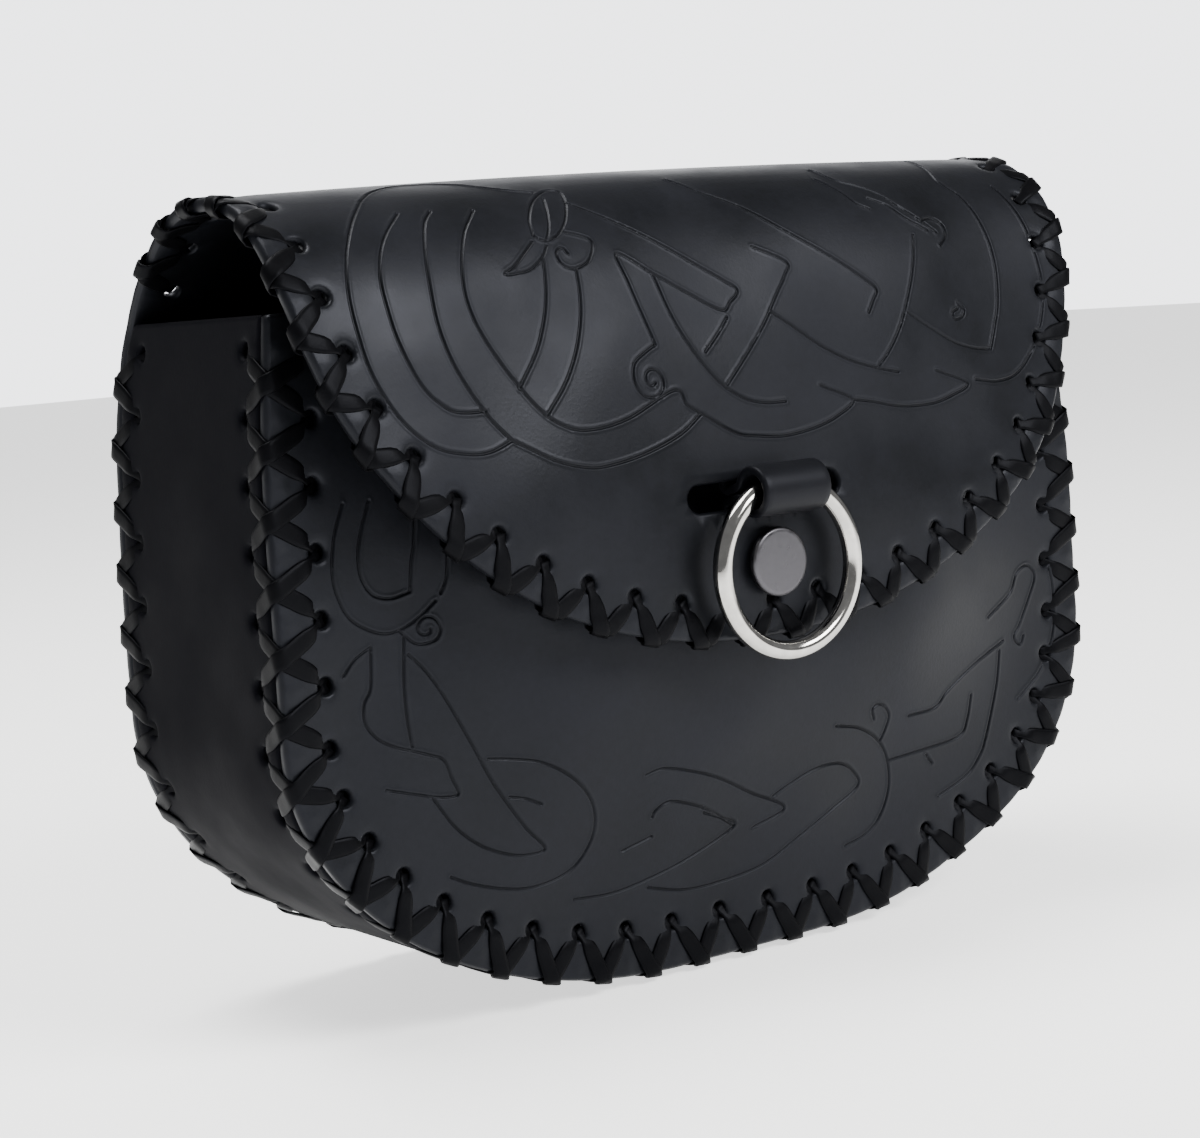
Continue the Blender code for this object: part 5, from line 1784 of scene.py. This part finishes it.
# The gusset's leather is the pouch hide with its colour darkened as painted shade.
dressed(gusset, "pouch", (gusset_leather_painted_shade, flesh_side), ["gusset"])
dressed(front_lace, "pouch", (lace_leather,), ["front_seam_lacing"])
dressed(back_lace, "pouch", (lace_leather,), ["back_seam_lacing"])
dressed(flap_lace, "pouch", (lace_leather,), ["flap_edge_lacing"])
dressed(ring_loop, "pouch", (strap_leather,), ["ring_loop"])
dressed(belt_loop, "pouch", (strap_leather,), ["belt_loop"])
dressed(snap_cap, "pouch", (plated,), ["snap_cap"])
dressed(snap_stud, "pouch", (plated,), ["snap_stud"])
dressed(rivets, "pouch", (plated,), rivet_nodes)
dressed(ring, "ring", (polished,), ["closure_ring"])

# %% [markdown]
# ## Floor, light and camera
# The picture has a white ground and soft light. Black leather shows little of its own colour and mostly
# mirrors what stands round it, so the surround matters as much as the lamps. Behind the pouch, where the
# camera looks, the surround is bright, as a paper backdrop is, and elsewhere it is a dim room that keeps
# the leather black. A pale table, lit from below, is the floor. Of two soft lamps, one hangs in front
# and to the right, where the flap mirrors it towards the camera, and one hangs above for the roll.

# %% Floor and surround
TABLE_GLOW = 1.3
ROOM_LIGHT = 0.3
BACKDROP_LIGHT = 3.7
BACKDROP_WAY = (0.58, 0.81, 0.0)
BACKDROP_EDGE = (0.80, 0.94)
floor_mesh = bpy.data.meshes.new("floor")
floor_mesh.from_pydata([(-4, -4, 0), (4, -4, 0), (4, 4, 0), (-4, 4, 0)], [], [(0, 1, 2, 3)])
floor = shown("floor", floor_mesh)
pale, tree, shader = shader_of("pale_paper_floor")
set_inputs(shader, Base_Color=linear("#f4f4f2"), Roughness=0.9, Emission_Color=linear("#ffffff"))
set_inputs(shader, Emission_Strength=TABLE_GLOW)
floor.data.materials.append(pale)

world = bpy.data.worlds.new("pale_surround")
bpy.context.scene.world = world
world.use_nodes = True
sky = world.node_tree.nodes["Background"]
sky.inputs["Color"].default_value = linear("#f6f7fa")
way = add(world.node_tree, "ShaderNodeTexCoord").outputs["Generated"]
behind = add(world.node_tree, "ShaderNodeVectorMath", {0: way, 1: BACKDROP_WAY}, operation="DOT_PRODUCT")
fade = {"Value": behind.outputs["Value"], "From Min": BACKDROP_EDGE[0], "From Max": BACKDROP_EDGE[1]}
fade |= {"To Min": ROOM_LIGHT, "To Max": BACKDROP_LIGHT}
glow = add(world.node_tree, "ShaderNodeMapRange", fade, interpolation_type="SMOOTHSTEP")
world.node_tree.links.new(glow.outputs["Result"], sky.inputs["Strength"])
print("floor and surround are in place")

# %% Lamps
def lamp(name, place, target, size, watts):
    """Hangs a white softbox of a width and height at place, turned to its target."""
    light = bpy.data.lights.new(name, "AREA")
    light.shape = "RECTANGLE"
    light.size, light.size_y = size
    light.energy = watts
    holder = bpy.data.objects.new(name, light)
    bpy.context.scene.collection.objects.link(holder)
    holder.location = place
    holder.rotation_euler = (Vector(target) - Vector(place)).to_track_quat("-Z", "Y").to_euler()


lamp("softbox_key", (0.34, -0.80, 0.66), (0.0, 0.0, 0.11), (0.6, 0.4), 16.0)
lamp("softbox_top", (-0.20, 0.20, 1.0), (0.0, 0.0, 0.10), (0.7, 0.45), 15.0)
print("two soft lamps are hung")

# %% Camera
CAMERA_PLACE = (-0.28433, -0.382364, 0.12545)
CAMERA_RIGHT = (0.80738, -0.58487, -0.07747)
CAMERA_UP = (0.12673, 0.04369, 0.99091)
CAMERA_AHEAD = (0.5762, 0.8099, -0.1094)
camera_data = bpy.data.cameras.new("camera")
camera_data.sensor_width = 36.0
camera_data.sensor_fit = "HORIZONTAL"
camera_data.lens = 75.4
camera_data.dof.use_dof = False
camera_data.clip_start = 0.01
camera = bpy.data.objects.new("camera", camera_data)
bpy.context.scene.collection.objects.link(camera)
columns = (Vector(CAMERA_RIGHT), Vector(CAMERA_UP), -Vector(CAMERA_AHEAD))
camera.rotation_mode = "QUATERNION"
camera.rotation_quaternion = Matrix(columns).transposed().to_quaternion()
camera.location = CAMERA_PLACE
bpy.context.scene.camera = camera
print("the camera stands", round(Vector(CAMERA_PLACE).length, 2), "m from the pouch")

# %% [markdown]
# ## Finish
# The last line updates the view layer.

# %% Update the view layer
bpy.context.view_layer.update()
